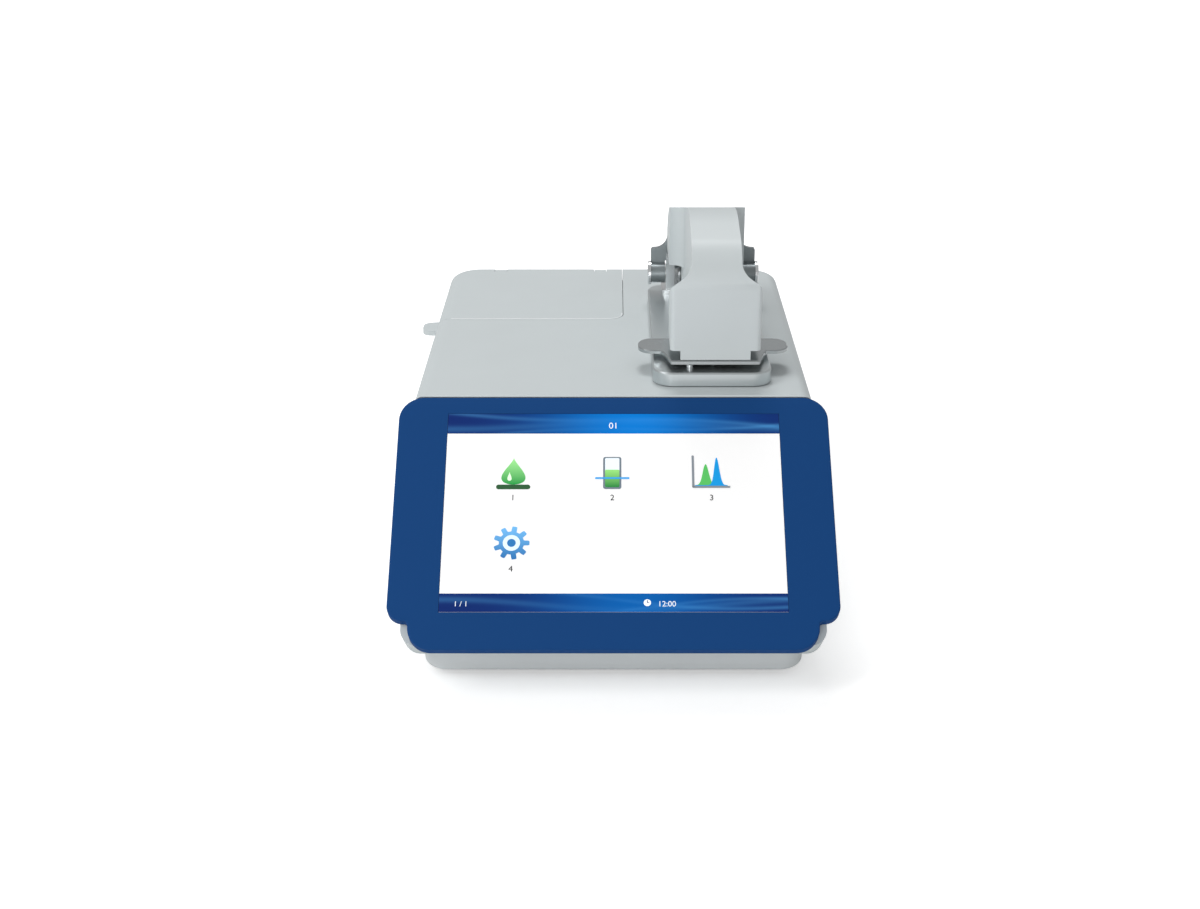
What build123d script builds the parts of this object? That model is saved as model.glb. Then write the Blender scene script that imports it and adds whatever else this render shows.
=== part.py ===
from build123d import *
import math
import os

# Microvolume spectrophotometer for a bench: a slanted touch screen, a sample arm
# on the right that lifts about a rear hinge, and a cuvette lid on the left.
# Millimetres. X to the right, Y to the back, Z up. The origin is on the bench,
# under the middle of the instrument.

# Whole instrument
fascia_width = 208.0
overall_depth = 320.0
front_y = -overall_depth / 2
rear_y = overall_depth / 2

# Clearances
seam = 0.3
running_gap = 0.05
seat_gap = 0.02
slip_gap = 0.2

# Upper housing
housing_width = 195.4
housing_wall = 2.5
housing_base_z = 14.0
top_z = 111.5
rear_corner_radius = 18.0
shoulder_radius = 6.5
belly_radius = 8.0
chin_setback = 19.0
chin_y = front_y + chin_setback

# Slanted front
slant_angle = 50.1
nose_z = 27.0
slab_length = 130.4
slab_thickness = 5.0
slab_top_radius = 12.0
slab_low_radius = 7.4
tongue_length = 14.0
tongue_step = 10.0
tongue_half_width = fascia_width / 2 - tongue_step
tongue_radius = 11.0
tongue_inner_radius = 2.2
nose_setback = 3.0
slab_edge_radius = 0.8

# Touch screen
screen_border = 24.0
screen_width = fascia_width - 2 * screen_border
screen_height = 103.0
screen_low_edge = 18.2
glass_thickness = 1.8
glass_sink = 0.15
ledge_width = 3.0
module_margin = 2.5
module_depth = 6.0
module_face_depth = 3.4
bracket_sheet = 1.2
fascia_boss_radius = 3.5
fascia_boss_offset = 10.0
fascia_boss_x = screen_width / 2 + fascia_boss_offset
fascia_boss_low = 24.0
fascia_boss_high = 122.0
fascia_screw_radius = 1.25

# Bottom tray and feet
tray_width = 178.8
tray_front_inset = 22.0
tray_front_y = front_y + tray_front_inset
tray_rear_inset = 8.3
tray_corner_radius = 12.0
tray_floor = 2.5
tray_wall = 2.5
tray_edge_radius = 2.0
foot_height = 3.0
foot_radius = 8.0
foot_stud_radius = 2.5
foot_x = 72.0
foot_setback = 22.0
foot_front_y = tray_front_y + foot_setback
foot_rear_inset = 30.0
foot_rear_y = rear_y - foot_rear_inset
floor_stud = 1.8
floor_peg_radius = 2.2
lip_height = 4.0
lip_wall = 2.0
post_radius = 4.0
post_hole_radius = 1.4
post_x = 78.0
post_front_y = -104.0
post_rear_y = 141.0
post_top_z = 92.0
post_front_top_z = 44.0
post_hole_depth = 12.0
post_web = 2.0
vent_count = 9
vent_width = 2.4
vent_length = 34.0
vent_pitch = 6.0

# Cuvette lid, its hinge and the deck under it
lid_right_x = 5.2
lid_front_y = 58.9
lid_corner_radius = 8.0
lid_wall = 2.5
lid_seam_z = 101.2
lid_pivot_y = rear_y - shoulder_radius
lid_pivot_z = top_z - shoulder_radius
knuckle_width = 7.0
knuckle_left_x = -68.0
knuckle_right_x = -8.0
knuckle_radius = 6.2
web_width = 6.0
lid_pin_radius = 1.5
tab_length = 16.0
tab_front_y = 60.0
tab_reach = 8.6
tab_thickness = 2.9
deck_sheet = 2.5
deck_gap = 0.3
deck_rim = 2.4
deck_overlap = 3.0
deck_corner = 6.0
seal_width = 4.0
seal_height = 2.2
seal_inset = 9.0
rib_wall = 1.6

# Cuvette holder
cuvette_x = -46.0
cuvette_y = 105.0
well_width = 12.7
well_depth = 41.0
holder_width = 27.0
holder_length = 48.0
holder_collar = 4.0
collar_height = 1.4
beam_height = 8.5
beam_radius = 1.6
optic_board_sheet = 1.6
optic_board_width = 22.0
optic_board_height = 24.0
diode_radius = 2.5
diode_length = 5.0

# Arm base on top of the housing
arm_x = 50.4
base_x = 49.0
base_width = 59.0
base_front_y = -48.3
base_rear_y = 100.0
base_corner_radius = 10.0
base_top_z = 118.8
base_edge_bevel = 0.7
gasket_sheet = 0.5
gasket_inset = 1.0
sample_y = -20.0
pedestal_radius = 1.9
pedestal_collar_radius = 6.0
pedestal_body_radius = 4.0
pedestal_rise = 0.6
moat_radius = 9.0
moat_depth = 1.0
base_screw_x = 14.0
base_screw_ys = (-2.0, 34.0, 64.0)
base_screw_radius = 2.0
base_screw_head_radius = 3.6
base_screw_head = 2.4
base_screw_length = 14.0

# Arm hinge
hinge_y = 88.0
hinge_z = 129.3
barrel_radius = 5.5
hinge_pin_radius = 2.5
bush_wall = 1.0
lug_inner = 13.0
lug_outer = 21.0
knuckle_outer = 29.3
cap_radius = 6.6
cap_length = 1.8
bracket_foot = 2.5
guide_y = 68.0
bracket_rear_y = 98.0
stop_tab_width = 4.8
stop_tab_sheet = 2.4
stop_tab_top_z = 142.4
stop_block_height = 9.0
stop_block_bevel = 3.4

# Arm cover, frame and lift plate
cover_front_y = -42.0
cover_back_y = 90.5
cover_bottom_z = 123.5
cover_belly_z = 127.0
cover_wall = 2.2
head_half_width = 22.4
head_back_y = -12.0
neck_half_width = 12.2
neck_back_y = 55.0
block_half_width = 20.2
scoop_radius = 8.0
flare_high_z = 168.5
flare_low_z = 160.6
flare_radius = 11.0
flare_slope = 20.0
head_corner_radius = 2.5
brow_z = 177.0
brow_radius = 22.0
crown_y = 8.0
crown_z = 187.5
crown_radius = 70.0
shoulder_back_y = 68.0
shoulder_back_z = 172.4
block_top_radius = 26.0
back_top_z = 160.0
block_floor_z = 143.6
tongue_half = 17.3
notch_z = 128.2
frame_sheet = 3.0
frame_wing_top_z = 143.0
frame_fillet = 8.0
frame_beam_half = 6.0
frame_beam_low_z = 146.0
frame_beam_high_z = 153.0
boss_half_width = 7.6
boss_front_y = -37.0
boss_back_y = -7.0
pedestal_bore_radius = 5.0
underside_sheet = 1.8
lift_sheet = 1.9
lift_gap = 2.5
lift_front_y = -42.6
lift_front_half = 22.0
lift_neck_half = 25.0
lift_neck_y = -30.0
ear_half_span = 37.9
ear_front_y = -26.7
ear_rear_y = -7.7
ear_radius = 7.6
lift_rear_y = 10.0
lift_rear_half = 20.0
lift_screw_sink = 1.2
sample_gap = 1.0
m3_radius = 1.5
m3_head_radius = 2.7
m3_head = 1.7

# Path length drive under the arm base
plunger_x = 38.0
plunger_y = -39.0
plunger_radius = 2.0
plunger_gap = 0.3
plunger_body_radius = 5.0
plunger_body_low_z = 82.0
plunger_body_high_z = 96.0
plunger_travel = 0.95
screw_radius = 2.0
screw_top_z = 91.0
thread_gap = 0.1
motor_radius = 10.0
motor_low_z = 56.0
motor_high_z = 74.0
motor_bracket_sheet = 2.0
motor_bracket_half = 15.0

# Chassis that carries the arm base
chassis_sheet = 2.0
chassis_half_width = 34.0
chassis_front_y = -46.0
chassis_rear_y = 99.0
chassis_foot = 10.0
chassis_window = 30.0

# Spectrometer inside the chassis
spectrometer_x = arm_x
spectrometer_half = 27.0
spectrometer_front_y = 14.0
spectrometer_rear_y = 92.0
spectrometer_low_z = 18.0
spectrometer_height = 34.0
spectrometer_wall = 3.0
spectrometer_lid_sheet = 2.5
spectrometer_foot_radius = 3.5
grating_width = 16.0
mirror_width = 18.0
optic_sheet = 4.0

# Lamp and fibres
lamp_x = -14.0
lamp_y = 66.0
lamp_half = 16.0
lamp_height = 38.0
lamp_wall = 2.0
fibre_radius = 1.2
ferrule_radius = 2.6
ferrule_length = 8.0

# Main circuit board
board_left_x = -84.0
board_right_x = 4.0
board_front_y = -94.0
board_rear_y = 36.0
board_sheet = 1.6
standoff_height = 7.0
standoff_radius = 3.0
board_screw_inset = 5.0

# Rear connector panel
panel_left_x = -62.0
panel_right_x = 32.0
panel_low_z = 30.0
panel_high_z = 64.0
panel_sheet = 2.0
panel_radius = 4.0
panel_overlap = 5.0
connector_z = 47.0
jack_x = -46.0
jack_radius = 4.6
jack_bore_radius = 2.9
jack_pin_radius = 1.0
jack_length = 14.0
usb_x = -20.0
usb_pitch = 19.0
usb_width = 14.5
usb_height = 7.2
usb_shell = 0.5
usb_length = 14.0
switch_x = 20.0
switch_width = 14.0
switch_height = 20.0
switch_wall = 1.2
switch_depth = 12.0
switch_flange = 1.5
rocker_half_tilt = 9.0
rocker_gap = 0.35
rocker_rise = 1.6


def on_slant(along, depth):
    """(Y, Z) of a point on the slanted front, up from the nose and in from its face."""
    run, rise = math.sin(math.radians(slant_angle)), math.cos(math.radians(slant_angle))
    return front_y + along * run + depth * rise, nose_z + along * rise - depth * run


def depth_of(y, z):
    """How far a point lies behind the slanted front's face."""
    run, rise = math.sin(math.radians(slant_angle)), math.cos(math.radians(slant_angle))
    return (y - front_y) * rise - (z - nose_z) * run


def slant_at_height(z, depth):
    """(Y, Z) of the point of that depth plane that lies at height z."""
    run, rise = math.sin(math.radians(slant_angle)), math.cos(math.radians(slant_angle))
    return on_slant((z - nose_z + depth * run) / rise, depth)


def drawn_in(corners, distance):
    """The same outline with every side moved inward by distance."""
    count = len(corners)
    area = sum(
        corners[i - 1][0] * corners[i][1] - corners[i][0] * corners[i - 1][1]
        for i in range(count)
    )
    turn = 1 if area > 0 else -1
    result = []
    for i in range(count):
        before, here, after = corners[i - 1], corners[i], corners[(i + 1) % count]
        first = math.atan2(here[1] - before[1], here[0] - before[0])
        second = math.atan2(after[1] - here[1], after[0] - here[0])
        normals = [(-turn * math.sin(a), turn * math.cos(a)) for a in (first, second)]
        dot = normals[0][0] * normals[1][0] + normals[0][1] * normals[1][1]
        move = [distance * (normals[0][k] + normals[1][k]) / (1 + dot) for k in (0, 1)]
        convex = turn * math.sin(second - first) > 0
        radius = here[2] - distance if convex else here[2] + distance
        kept = max(radius, 0.0) if here[2] > 0 else 0.0
        result.append((here[0] + move[0], here[1] + move[1], kept))
    return result


def fitting_radii(corners):
    """Corner radii, made smaller where a side is too short for both of its ends."""
    count = len(corners)
    slopes = []
    for i in range(count):
        before, here, after = corners[i - 1], corners[i], corners[(i + 1) % count]
        first = math.atan2(here[1] - before[1], here[0] - before[0])
        second = math.atan2(after[1] - here[1], after[0] - here[0])
        turn = abs((second - first + math.pi) % (2 * math.pi) - math.pi)
        slopes.append(math.tan(turn / 2))
    radii = [radius for _, _, radius in corners]
    for _ in range(2):
        for i in range(count):
            after = (i + 1) % count
            side = math.dist(corners[i][:2], corners[after][:2])
            needed = radii[i] * slopes[i] + radii[after] * slopes[after]
            if needed > 0.98 * side:
                share = 0.98 * side / needed
                radii[i] *= share
                radii[after] *= share
    return radii


def outline(corners):
    """Closed flat outline through (u, v, radius) corners."""
    points = [(u, v) for u, v, _ in corners]
    if all(radius == 0 for _, _, radius in corners):
        return make_face(Polyline(*points, close=True))
    return make_face(FilletPolyline(*points, radius=fitting_radii(corners), close=True))


def rectangle(u0, u1, v0, v1, radius=0.0):
    """Corners of a rectangle with equal corner radii."""
    return [(u0, v0, radius), (u1, v0, radius), (u1, v1, radius), (u0, v1, radius)]


def block(x0, x1, y0, y1, z0, z1):
    """Box between two corners."""
    middle = Pos((x0 + x1) / 2, (y0 + y1) / 2, (z0 + z1) / 2)
    return middle * Box(x1 - x0, y1 - y0, z1 - z0)


def plan_prism(corners, z0, z1):
    """Outline in X and Y, raised from z0 to z1."""
    return extrude(Plane.XY.offset(z0) * outline(corners), z1 - z0, dir=(0, 0, 1))


def side_prism(corners, x0, x1):
    """Outline in Y and Z, carried from x0 to x1."""
    return extrude(Plane.YZ.offset(x0) * outline(corners), x1 - x0, dir=(1, 0, 0))


def front_prism(corners, y0, y1):
    """Outline in X and Z, carried from y0 to y1."""
    return extrude(Plane.XZ.offset(-y0) * outline(corners), y1 - y0, dir=(0, 1, 0))


def slant_plane(depth):
    """Plane parallel to the slanted face, set in from it; its Y runs up the slant."""
    run, rise = math.sin(math.radians(slant_angle)), math.cos(math.radians(slant_angle))
    y, z = on_slant(0, depth)
    return Plane(origin=(0, y, z), x_dir=(1, 0, 0), z_dir=(0, -rise, run))


def slant_prism(corners, depth0, depth1):
    """Outline in X and along the slant, carried from depth0 to depth1."""
    plane = slant_plane(depth1)
    normal = plane.z_dir
    return extrude(plane * outline(corners), depth1 - depth0, dir=normal)


def slant_rod(x, along, depth0, depth1, radius):
    """Round rod square to the slanted face."""
    middle = slant_plane((depth0 + depth1) / 2) * Pos(x, along, 0)
    return middle * Cylinder(radius, depth1 - depth0)


def rod_x(x0, x1, y, z, radius):
    """Round rod along X."""
    return Pos((x0 + x1) / 2, y, z) * Rot(0, 90, 0) * Cylinder(radius, x1 - x0)


def rod_y(x, y0, y1, z, radius):
    """Round rod along Y."""
    return Pos(x, (y0 + y1) / 2, z) * Rot(90, 0, 0) * Cylinder(radius, y1 - y0)


def rod_z(x, y, z0, z1, radius):
    """Round rod along Z."""
    return Pos(x, y, (z0 + z1) / 2) * Cylinder(radius, z1 - z0)


def joined(pieces):
    """Pieces fused to one body."""
    result = pieces[0]
    for piece in pieces[1:]:
        result = result + piece
    return result


def group(pieces):
    """Separate solids kept in one node."""
    return Compound(children=[solid for piece in pieces for solid in piece.solids()])


def pan_screw(x, y, z, radius, length, head_radius, head):
    """Screw that points down, with the underside of its head at z."""
    return rod_z(x, y, z - length, z, radius) + rod_z(x, y, z, z + head, head_radius)


def tube_path(points, share=0.45):
    """Straight runs joined by arcs as large as the runs allow, for a held fibre."""
    corners = [Vector(*point) for point in points]
    radii = []
    for before, here, after in zip(corners, corners[1:], corners[2:]):
        turn = math.radians((here - before).get_angle(after - here))
        shorter = min((here - before).length, (after - here).length)
        radii.append(share * shorter / math.tan(turn / 2))
    return FilletPolyline(*points, radius=radii), radii


def fibre(points, radius):
    """Round fibre jacket along its route."""
    path, _ = tube_path(points)
    start = Plane(origin=path @ 0, z_dir=path % 0)
    return sweep(start * Circle(radius), path=path)


# Housing
def housing_profile(front_depth):
    """Side outline of the housing with its slanted front at a depth behind the face."""
    nose_y, nose_height = on_slant(nose_setback, 0)
    share = front_depth / depth_of(chin_y, housing_base_z)
    nose = (nose_y + share * (chin_y - nose_y), nose_height + share * (housing_base_z - nose_height))
    return [
        (rear_y, housing_base_z, 0.0),
        (rear_y, top_z, 0.0),
        (*slant_at_height(top_z, front_depth), 0.0),
        (*nose, 0.0),
        (chin_y, housing_base_z, 0.0),
    ]


def housing_form(inset):
    """Closed form of the housing, with every face drawn in by inset."""
    front_depth = slab_thickness + seam if inset else 0.0
    profile = drawn_in(housing_profile(front_depth), inset)
    half = housing_width / 2 - inset
    form = side_prism(profile, -half, half)
    high, low, back = top_z - inset, housing_base_z + inset, rear_y - inset
    uprights = form.edges().filter_by(Axis.Z).filter_by_position(Axis.Y, back - 0.1, back + 0.1)
    form = fillet(uprights, rear_corner_radius - inset)
    rim = form.edges().filter_by_position(Axis.Z, high - 0.01, high + 0.01)
    rim = rim.filter_by_position(Axis.Y, 0, rear_y)
    form = fillet(rim, shoulder_radius - inset)
    floor_rim = form.edges().filter_by_position(Axis.Z, low - 0.01, low + 0.01)
    floor_rim = floor_rim.filter_by_position(Axis.Y, chin_y + 20, rear_y)
    chin = [
        edge
        for edge in form.edges().filter_by(GeomType.LINE)
        if abs(abs(edge.center().X) - half) < 0.01
        and low < edge.center().Z < nose_z
        and edge.center().Y < chin_y + inset
        and edge.length < 30
    ]
    form = fillet(floor_rim + chin, belly_radius - inset)
    if inset:
        return form
    room = rectangle(-fascia_width, fascia_width, -slab_length, slab_length + seam)
    return form - slant_prism(room, -slab_length, slab_thickness + seam)


def lid_space(grow, wall=0.0):
    """Space that the lid and its swing take, grown by a seam or drawn in by its wall."""
    right = lid_right_x + grow - wall
    front = lid_front_y - grow + wall
    left = -housing_width
    corner = max(lid_corner_radius + grow - wall, 0.5)
    plan = [
        (left, front, 0.0),
        (right, front, corner),
        (right, lid_pivot_y, 0.0),
        (left, lid_pivot_y, 0.0),
    ]
    space = plan_prism(plan, lid_seam_z - grow, top_z + housing_wall)
    barrel = rod_x(left, right, lid_pivot_y, lid_pivot_z, shoulder_radius + grow - wall)
    return space + barrel


def knuckle_centres():
    """X of the two lid hinge knuckles."""
    return knuckle_left_x, knuckle_right_x


def housing_knuckle(x):
    """Fixed knuckle of the lid hinge with its stem on the rear wall."""
    half = knuckle_width / 2
    disc = rod_x(x - half, x + half, lid_pivot_y, lid_pivot_z, knuckle_radius)
    low = lid_pivot_z - 3 * knuckle_radius
    front = lid_pivot_y - knuckle_radius
    stem = [
        (rear_y - housing_wall / 2, low, 0.0),
        (rear_y - housing_wall / 2, lid_pivot_z - knuckle_radius / 2, 0.0),
        (lid_pivot_y, lid_pivot_z, 0.0),
        (front, lid_pivot_z, 0.0),
    ]
    bore = rod_x(x - half, x + half, lid_pivot_y, lid_pivot_z, lid_pin_radius + seat_gap)
    return disc + side_prism(stem, x - half, x + half) - bore


def screw_post(x, y):
    """Hollow post that takes a tray screw, webbed to the housing's side wall."""
    low = foot_height + tray_floor
    high = post_top_z if y > 0 else post_front_top_z
    post = rod_z(x, y, low, high, post_radius)
    wall = math.copysign(housing_width / 2 - housing_wall / 2, x)
    x0, x1 = sorted((x, wall))
    web = block(x0, x1, y - post_web / 2, y + post_web / 2, housing_base_z + belly_radius, high - post_web)
    return post + web - rod_z(x, y, low, low + post_hole_depth, post_hole_radius)


def tray_opening(inset):
    """Plan of the tray, drawn in from its outer wall."""
    half = tray_width / 2
    corners = rectangle(-half, half, tray_front_y, rear_y - tray_rear_inset, tray_corner_radius)
    return drawn_in(corners, inset)


def upper_housing():
    """Moulded shell with the display window, the lid bay and the arm base holes."""
    cavity = housing_form(housing_wall)
    shell = housing_form(0.0) - cavity
    shell = shell - plan_prism(tray_opening(tray_wall), 0, housing_base_z + housing_wall + 1)
    window = screen_corners(module_margin + slip_gap)
    shell = shell - slant_prism(window, 0, slab_thickness + 2 * housing_wall)
    for x, along in fascia_boss_places():
        hole = slant_rod(x, along, 0, slab_thickness + 2 * housing_wall, fascia_boss_radius + slip_gap)
        shell = shell - hole
    shell = shell - lid_space(seam)
    shell = shell + joined([housing_knuckle(x) for x in knuckle_centres()])
    for x, y in tray_post_places():
        shell = shell + screw_post(x, y)
    shell = shell - panel_window()
    for x, y in base_screw_places():
        shell = shell - rod_z(x, y, top_z - 2 * housing_wall, top_z + 1, base_screw_radius + slip_gap)
    for x, y, radius in base_passages():
        shell = shell - rod_z(x, y, top_z - 2 * housing_wall, top_z + 1, radius + 1)
    for x, z in panel_screw_places():
        shell = shell - rod_y(x, rear_y - 2 * housing_wall, rear_y + 1, z, post_hole_radius + slip_gap)
        shell = shell - rod_y(x, rear_y - m3_head, rear_y + 1, z, m3_head_radius + slip_gap)
    return shell


# Slanted front
def fascia_corners():
    """Face outline of the slanted front: a wide slab above a narrower tongue."""
    half = fascia_width / 2
    right = [
        (tongue_half_width, 0.0, tongue_radius),
        (tongue_half_width, tongue_length, tongue_inner_radius),
        (half, tongue_length, slab_low_radius),
        (half, slab_length, slab_top_radius),
    ]
    left = [(-x, along, radius) for x, along, radius in reversed(right)]
    return right + left


def screen_corners(grow=0.0, radius=0.0):
    """Rectangle of the touch screen, grown on every side."""
    half = screen_width / 2 + grow
    low = screen_low_edge - grow
    return rectangle(-half, half, low, low + screen_height + 2 * grow, radius)


def fascia_boss_places():
    """Across and along places of the four fascia bosses."""
    return [(s * fascia_boss_x, t) for s in (-1, 1) for t in (fascia_boss_low, fascia_boss_high)]


def front_fascia():
    """Coloured front moulding with its glass rebate, window and screw bosses."""
    slab = slant_prism(fascia_corners(), 0, slab_thickness)
    face = slab.faces().sort_by(Axis((0, 0, 0), slant_plane(0).z_dir))[-1]
    slab = fillet(face.edges(), slab_edge_radius)
    slab = slab - slant_prism(screen_corners(slip_gap), -1, glass_thickness + glass_sink)
    slab = slab - slant_prism(screen_corners(-ledge_width), 0, slab_thickness + 1)
    pocket = screen_corners(module_margin + slip_gap)
    slab = slab - slant_prism(pocket, module_face_depth, slab_thickness + 1)
    deep = module_face_depth + module_depth
    for x, along in fascia_boss_places():
        slab = slab + slant_rod(x, along, slab_thickness - 1, deep, fascia_boss_radius)
        slab = slab - slant_rod(x, along, slab_thickness - 1, deep + 1, fascia_screw_radius)
    return slab


def touch_panel():
    """Glass touch panel that lies in the fascia's rebate."""
    return slant_prism(screen_corners(), glass_sink, glass_thickness + glass_sink)


def display_module():
    """Screen module behind the window, with its framed back."""
    back = module_face_depth + module_depth
    body = slant_prism(screen_corners(module_margin), module_face_depth, back)
    recess = slant_prism(screen_corners(module_margin - 4, 3), back - 1.5, back + 1)
    board = screen_corners(-22.0, 2.0)
    return body - recess + slant_prism(board, back - 2.0, back)


def display_bracket():
    """Sheet straps that hold the display module against the fascia."""
    back = module_face_depth + module_depth
    straps = []
    low, high = fascia_boss_low, fascia_boss_high
    for along in (low, high):
        strap = rectangle(-fascia_boss_x - 5, fascia_boss_x + 5, along - 5, along + 5, 3.0)
        plate = slant_prism(strap, back, back + bracket_sheet)
        for side in (-1, 1):
            plate = plate - slant_rod(side * fascia_boss_x, along, 0, back + 5, fascia_screw_radius + slip_gap)
        straps.append(plate)
    for side in (-1, 1):
        x = side * (fascia_boss_x - 12)
        rail = rectangle(x - 4, x + 4, low, high)
        straps.append(slant_prism(rail, back, back + bracket_sheet))
    return joined(straps)


def fascia_screws():
    """Screws through the display bracket into the fascia bosses."""
    back = module_face_depth + module_depth + bracket_sheet
    screws = []
    for x, along in fascia_boss_places():
        shank = slant_rod(x, along, slab_thickness, back, fascia_screw_radius - seat_gap)
        screws.append(shank + slant_rod(x, along, back, back + m3_head, m3_head_radius))
    return group(screws)


# Bottom tray
def tray_post_places():
    """Places of the four tray screws."""
    return [(s * post_x, y) for s in (-1, 1) for y in (post_front_y, post_rear_y)]


def foot_places():
    """Places of the four feet."""
    return [(s * foot_x, y) for s in (-1, 1) for y in (foot_front_y, foot_rear_y)]


def bottom_tray():
    """Shallow tray with a lip that locates the housing, vents and foot recesses."""
    low = foot_height
    tray = plan_prism(tray_opening(0.0), low, housing_base_z)
    tray = fillet(tray.faces().sort_by(Axis.Z)[0].edges(), tray_edge_radius)
    tray = tray - plan_prism(tray_opening(tray_wall), low + tray_floor, housing_base_z + 1)
    lip_low = housing_base_z - lip_height
    lip = plan_prism(tray_opening(tray_wall + slip_gap), low + tray_floor, housing_base_z + lip_height)
    lip = lip - plan_prism(tray_opening(tray_wall + slip_gap + lip_wall), low, housing_base_z + lip_height + 1)
    key = plan_prism(tray_opening(tray_wall / 2), low + tray_floor / 2, lip_low)
    key = key - plan_prism(tray_opening(tray_wall + slip_gap + lip_wall), low, lip_low + 1)
    tray = tray + lip + key
    for x, y in tray_post_places():
        tray = tray - rod_z(x, y, 0, low + tray_floor + 1, m3_radius + slip_gap)
        tray = tray - rod_z(x, y, 0, low + m3_head - 0.7, m3_head_radius + slip_gap)
    for x, y in foot_places():
        tray = tray - rod_z(x, y, 0, low + tray_floor + 1, foot_stud_radius)
    for x, y, radius in floor_stud_places():
        tray = tray - rod_z(x, y, low + tray_floor - floor_stud, low + tray_floor + 1, radius + seat_gap)
    for i in range(vent_count):
        y = (i - (vent_count - 1) / 2) * vent_pitch
        slot = rectangle(-vent_length / 2, vent_length / 2, y - vent_width / 2, y + vent_width / 2, 1.15)
        tray = tray - plan_prism(slot, 0, low + tray_floor + 1)
    return tray


def floor_stud_places():
    """Places and radii of the studs and screws that end in the tray's floor."""
    studs = [(x, y, m3_radius) for x, y in standoff_places() + chassis_screw_places()]
    return studs + [(x, y, floor_peg_radius) for x, y in case_foot_places()]


def rubber_feet():
    """Four soft feet whose studs press into the tray floor."""
    feet = []
    for x, y in foot_places():
        pad = rod_z(x, y, 0, foot_height, foot_radius)
        pad = chamfer(pad.edges().sort_by(Axis.Z)[0], 0.7)
        stud = rod_z(x, y, foot_height - 0.5, foot_height + tray_floor + 1, foot_stud_radius - seat_gap)
        barb = rod_z(x, y, foot_height + tray_floor, foot_height + tray_floor + 1.5, foot_stud_radius + 0.8)
        feet.append(pad + stud + barb)
    return group(feet)


def housing_screws():
    """Four screws from under the tray into the housing posts."""
    screws = []
    for x, y in tray_post_places():
        seat = foot_height + m3_head - 0.7
        shank = rod_z(x, y, seat, seat + 10, post_hole_radius - seat_gap)
        head = rod_z(x, y, seat - m3_head + 0.2, seat, m3_head_radius)
        screws.append(shank + head)
    return group(screws)


# Rear connector panel
def panel_window():
    """Window in the rear wall that the panel fills."""
    corners = rectangle(panel_left_x, panel_right_x, panel_low_z, panel_high_z, panel_radius)
    return front_prism(corners, rear_y - 2 * housing_wall, rear_y + 1)


def panel_screw_places():
    """X and Z of the panel screws."""
    z = (panel_low_z + panel_high_z) / 2
    reach = panel_overlap / 2 + 0.8
    return [(panel_left_x - reach, z), (panel_right_x + reach, z)]


def usb_centres():
    """X of the two USB sockets."""
    return usb_x, usb_x + usb_pitch


def rear_panel():
    """Panel behind the rear wall with cut-outs for the sockets and the switch."""
    back = rear_y - housing_wall
    corners = rectangle(panel_left_x, panel_right_x, panel_low_z, panel_high_z, panel_radius)
    panel = front_prism(drawn_in(corners, -panel_overlap - 2), back - panel_sheet, back)
    panel = panel - rod_y(jack_x, back - 9, back + 1, connector_z, jack_radius + seat_gap)
    for x in usb_centres():
        half_w, half_h = usb_width / 2 + seat_gap, usb_height / 2 + seat_gap
        cut = rectangle(x - half_w, x + half_w, connector_z - half_h, connector_z + half_h)
        panel = panel - front_prism(cut, back - 9, back + 1)
    half_w, half_h = switch_width / 2 + seat_gap, switch_height / 2 + seat_gap
    cut = rectangle(switch_x - half_w, switch_x + half_w, connector_z - half_h, connector_z + half_h)
    panel = panel - front_prism(cut, back - 9, back + 1)
    for x, z in panel_screw_places():
        panel = panel - rod_y(x, back - 9, back + 1, z, post_hole_radius)
    return panel


def rear_panel_screws():
    """Screws sunk in the rear wall and turned into the panel."""
    screws = []
    for x, z in panel_screw_places():
        seat = rear_y - m3_head
        shank = rod_y(x, rear_y - housing_wall - panel_sheet - 1, seat, z, post_hole_radius - seat_gap)
        screws.append(shank + rod_y(x, seat, rear_y - 0.1, z, m3_head_radius))
    return group(screws)


def dc_jack():
    """Barrel socket with its centre pin."""
    face = rear_y - housing_wall + 1.0
    body = rod_y(jack_x, face - jack_length, face, connector_z, jack_radius)
    flange = rod_y(jack_x, face - 1.0, face, connector_z, jack_radius + 1.5)
    bore = rod_y(jack_x, face - 10, face + 1, connector_z, jack_bore_radius)
    pin = rod_y(jack_x, face - 11, face - 1, connector_z, jack_pin_radius)
    return body + flange - bore + pin


def usb_sockets():
    """Two folded-shell sockets with their tongues."""
    face = rear_y - housing_wall + 0.5
    sockets = []
    for x in usb_centres():
        half_w, half_h = usb_width / 2, usb_height / 2
        outer = block(x - half_w, x + half_w, face - usb_length, face, connector_z - half_h, connector_z + half_h)
        inner_w, inner_h = half_w - usb_shell, half_h - usb_shell
        inner = block(
            x - inner_w, x + inner_w, face - usb_length + 2, face + 1, connector_z - inner_h, connector_z + inner_h
        )
        high = connector_z + inner_h - 0.6
        tongue = block(x - inner_w + 1.5, x + inner_w - 1.5, face - usb_length + 1, face - 1, high - 1.9, high)
        sockets.append(outer - inner + tongue)
    return group(sockets)


def switch_body():
    """Rocker switch body, open to the rear."""
    back = rear_y - housing_wall
    half_w, half_h = switch_width / 2, switch_height / 2
    body = block(
        switch_x - half_w, switch_x + half_w, back - switch_depth, back, connector_z - half_h, connector_z + half_h
    )
    rim = block(
        switch_x - half_w - 1, switch_x + half_w + 1, back, back + switch_flange,
        connector_z - half_h - 1, connector_z + half_h + 1,
    )
    inner_w, inner_h = half_w - switch_wall, half_h - switch_wall
    well = block(
        switch_x - inner_w, switch_x + inner_w, back - switch_depth + 1.5, back + switch_flange + 1,
        connector_z - inner_h, connector_z + inner_h,
    )
    axle = rod_x(switch_x - half_w, switch_x + half_w, back, connector_z, 1.0 + running_gap)
    return body + rim - well - axle


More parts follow.
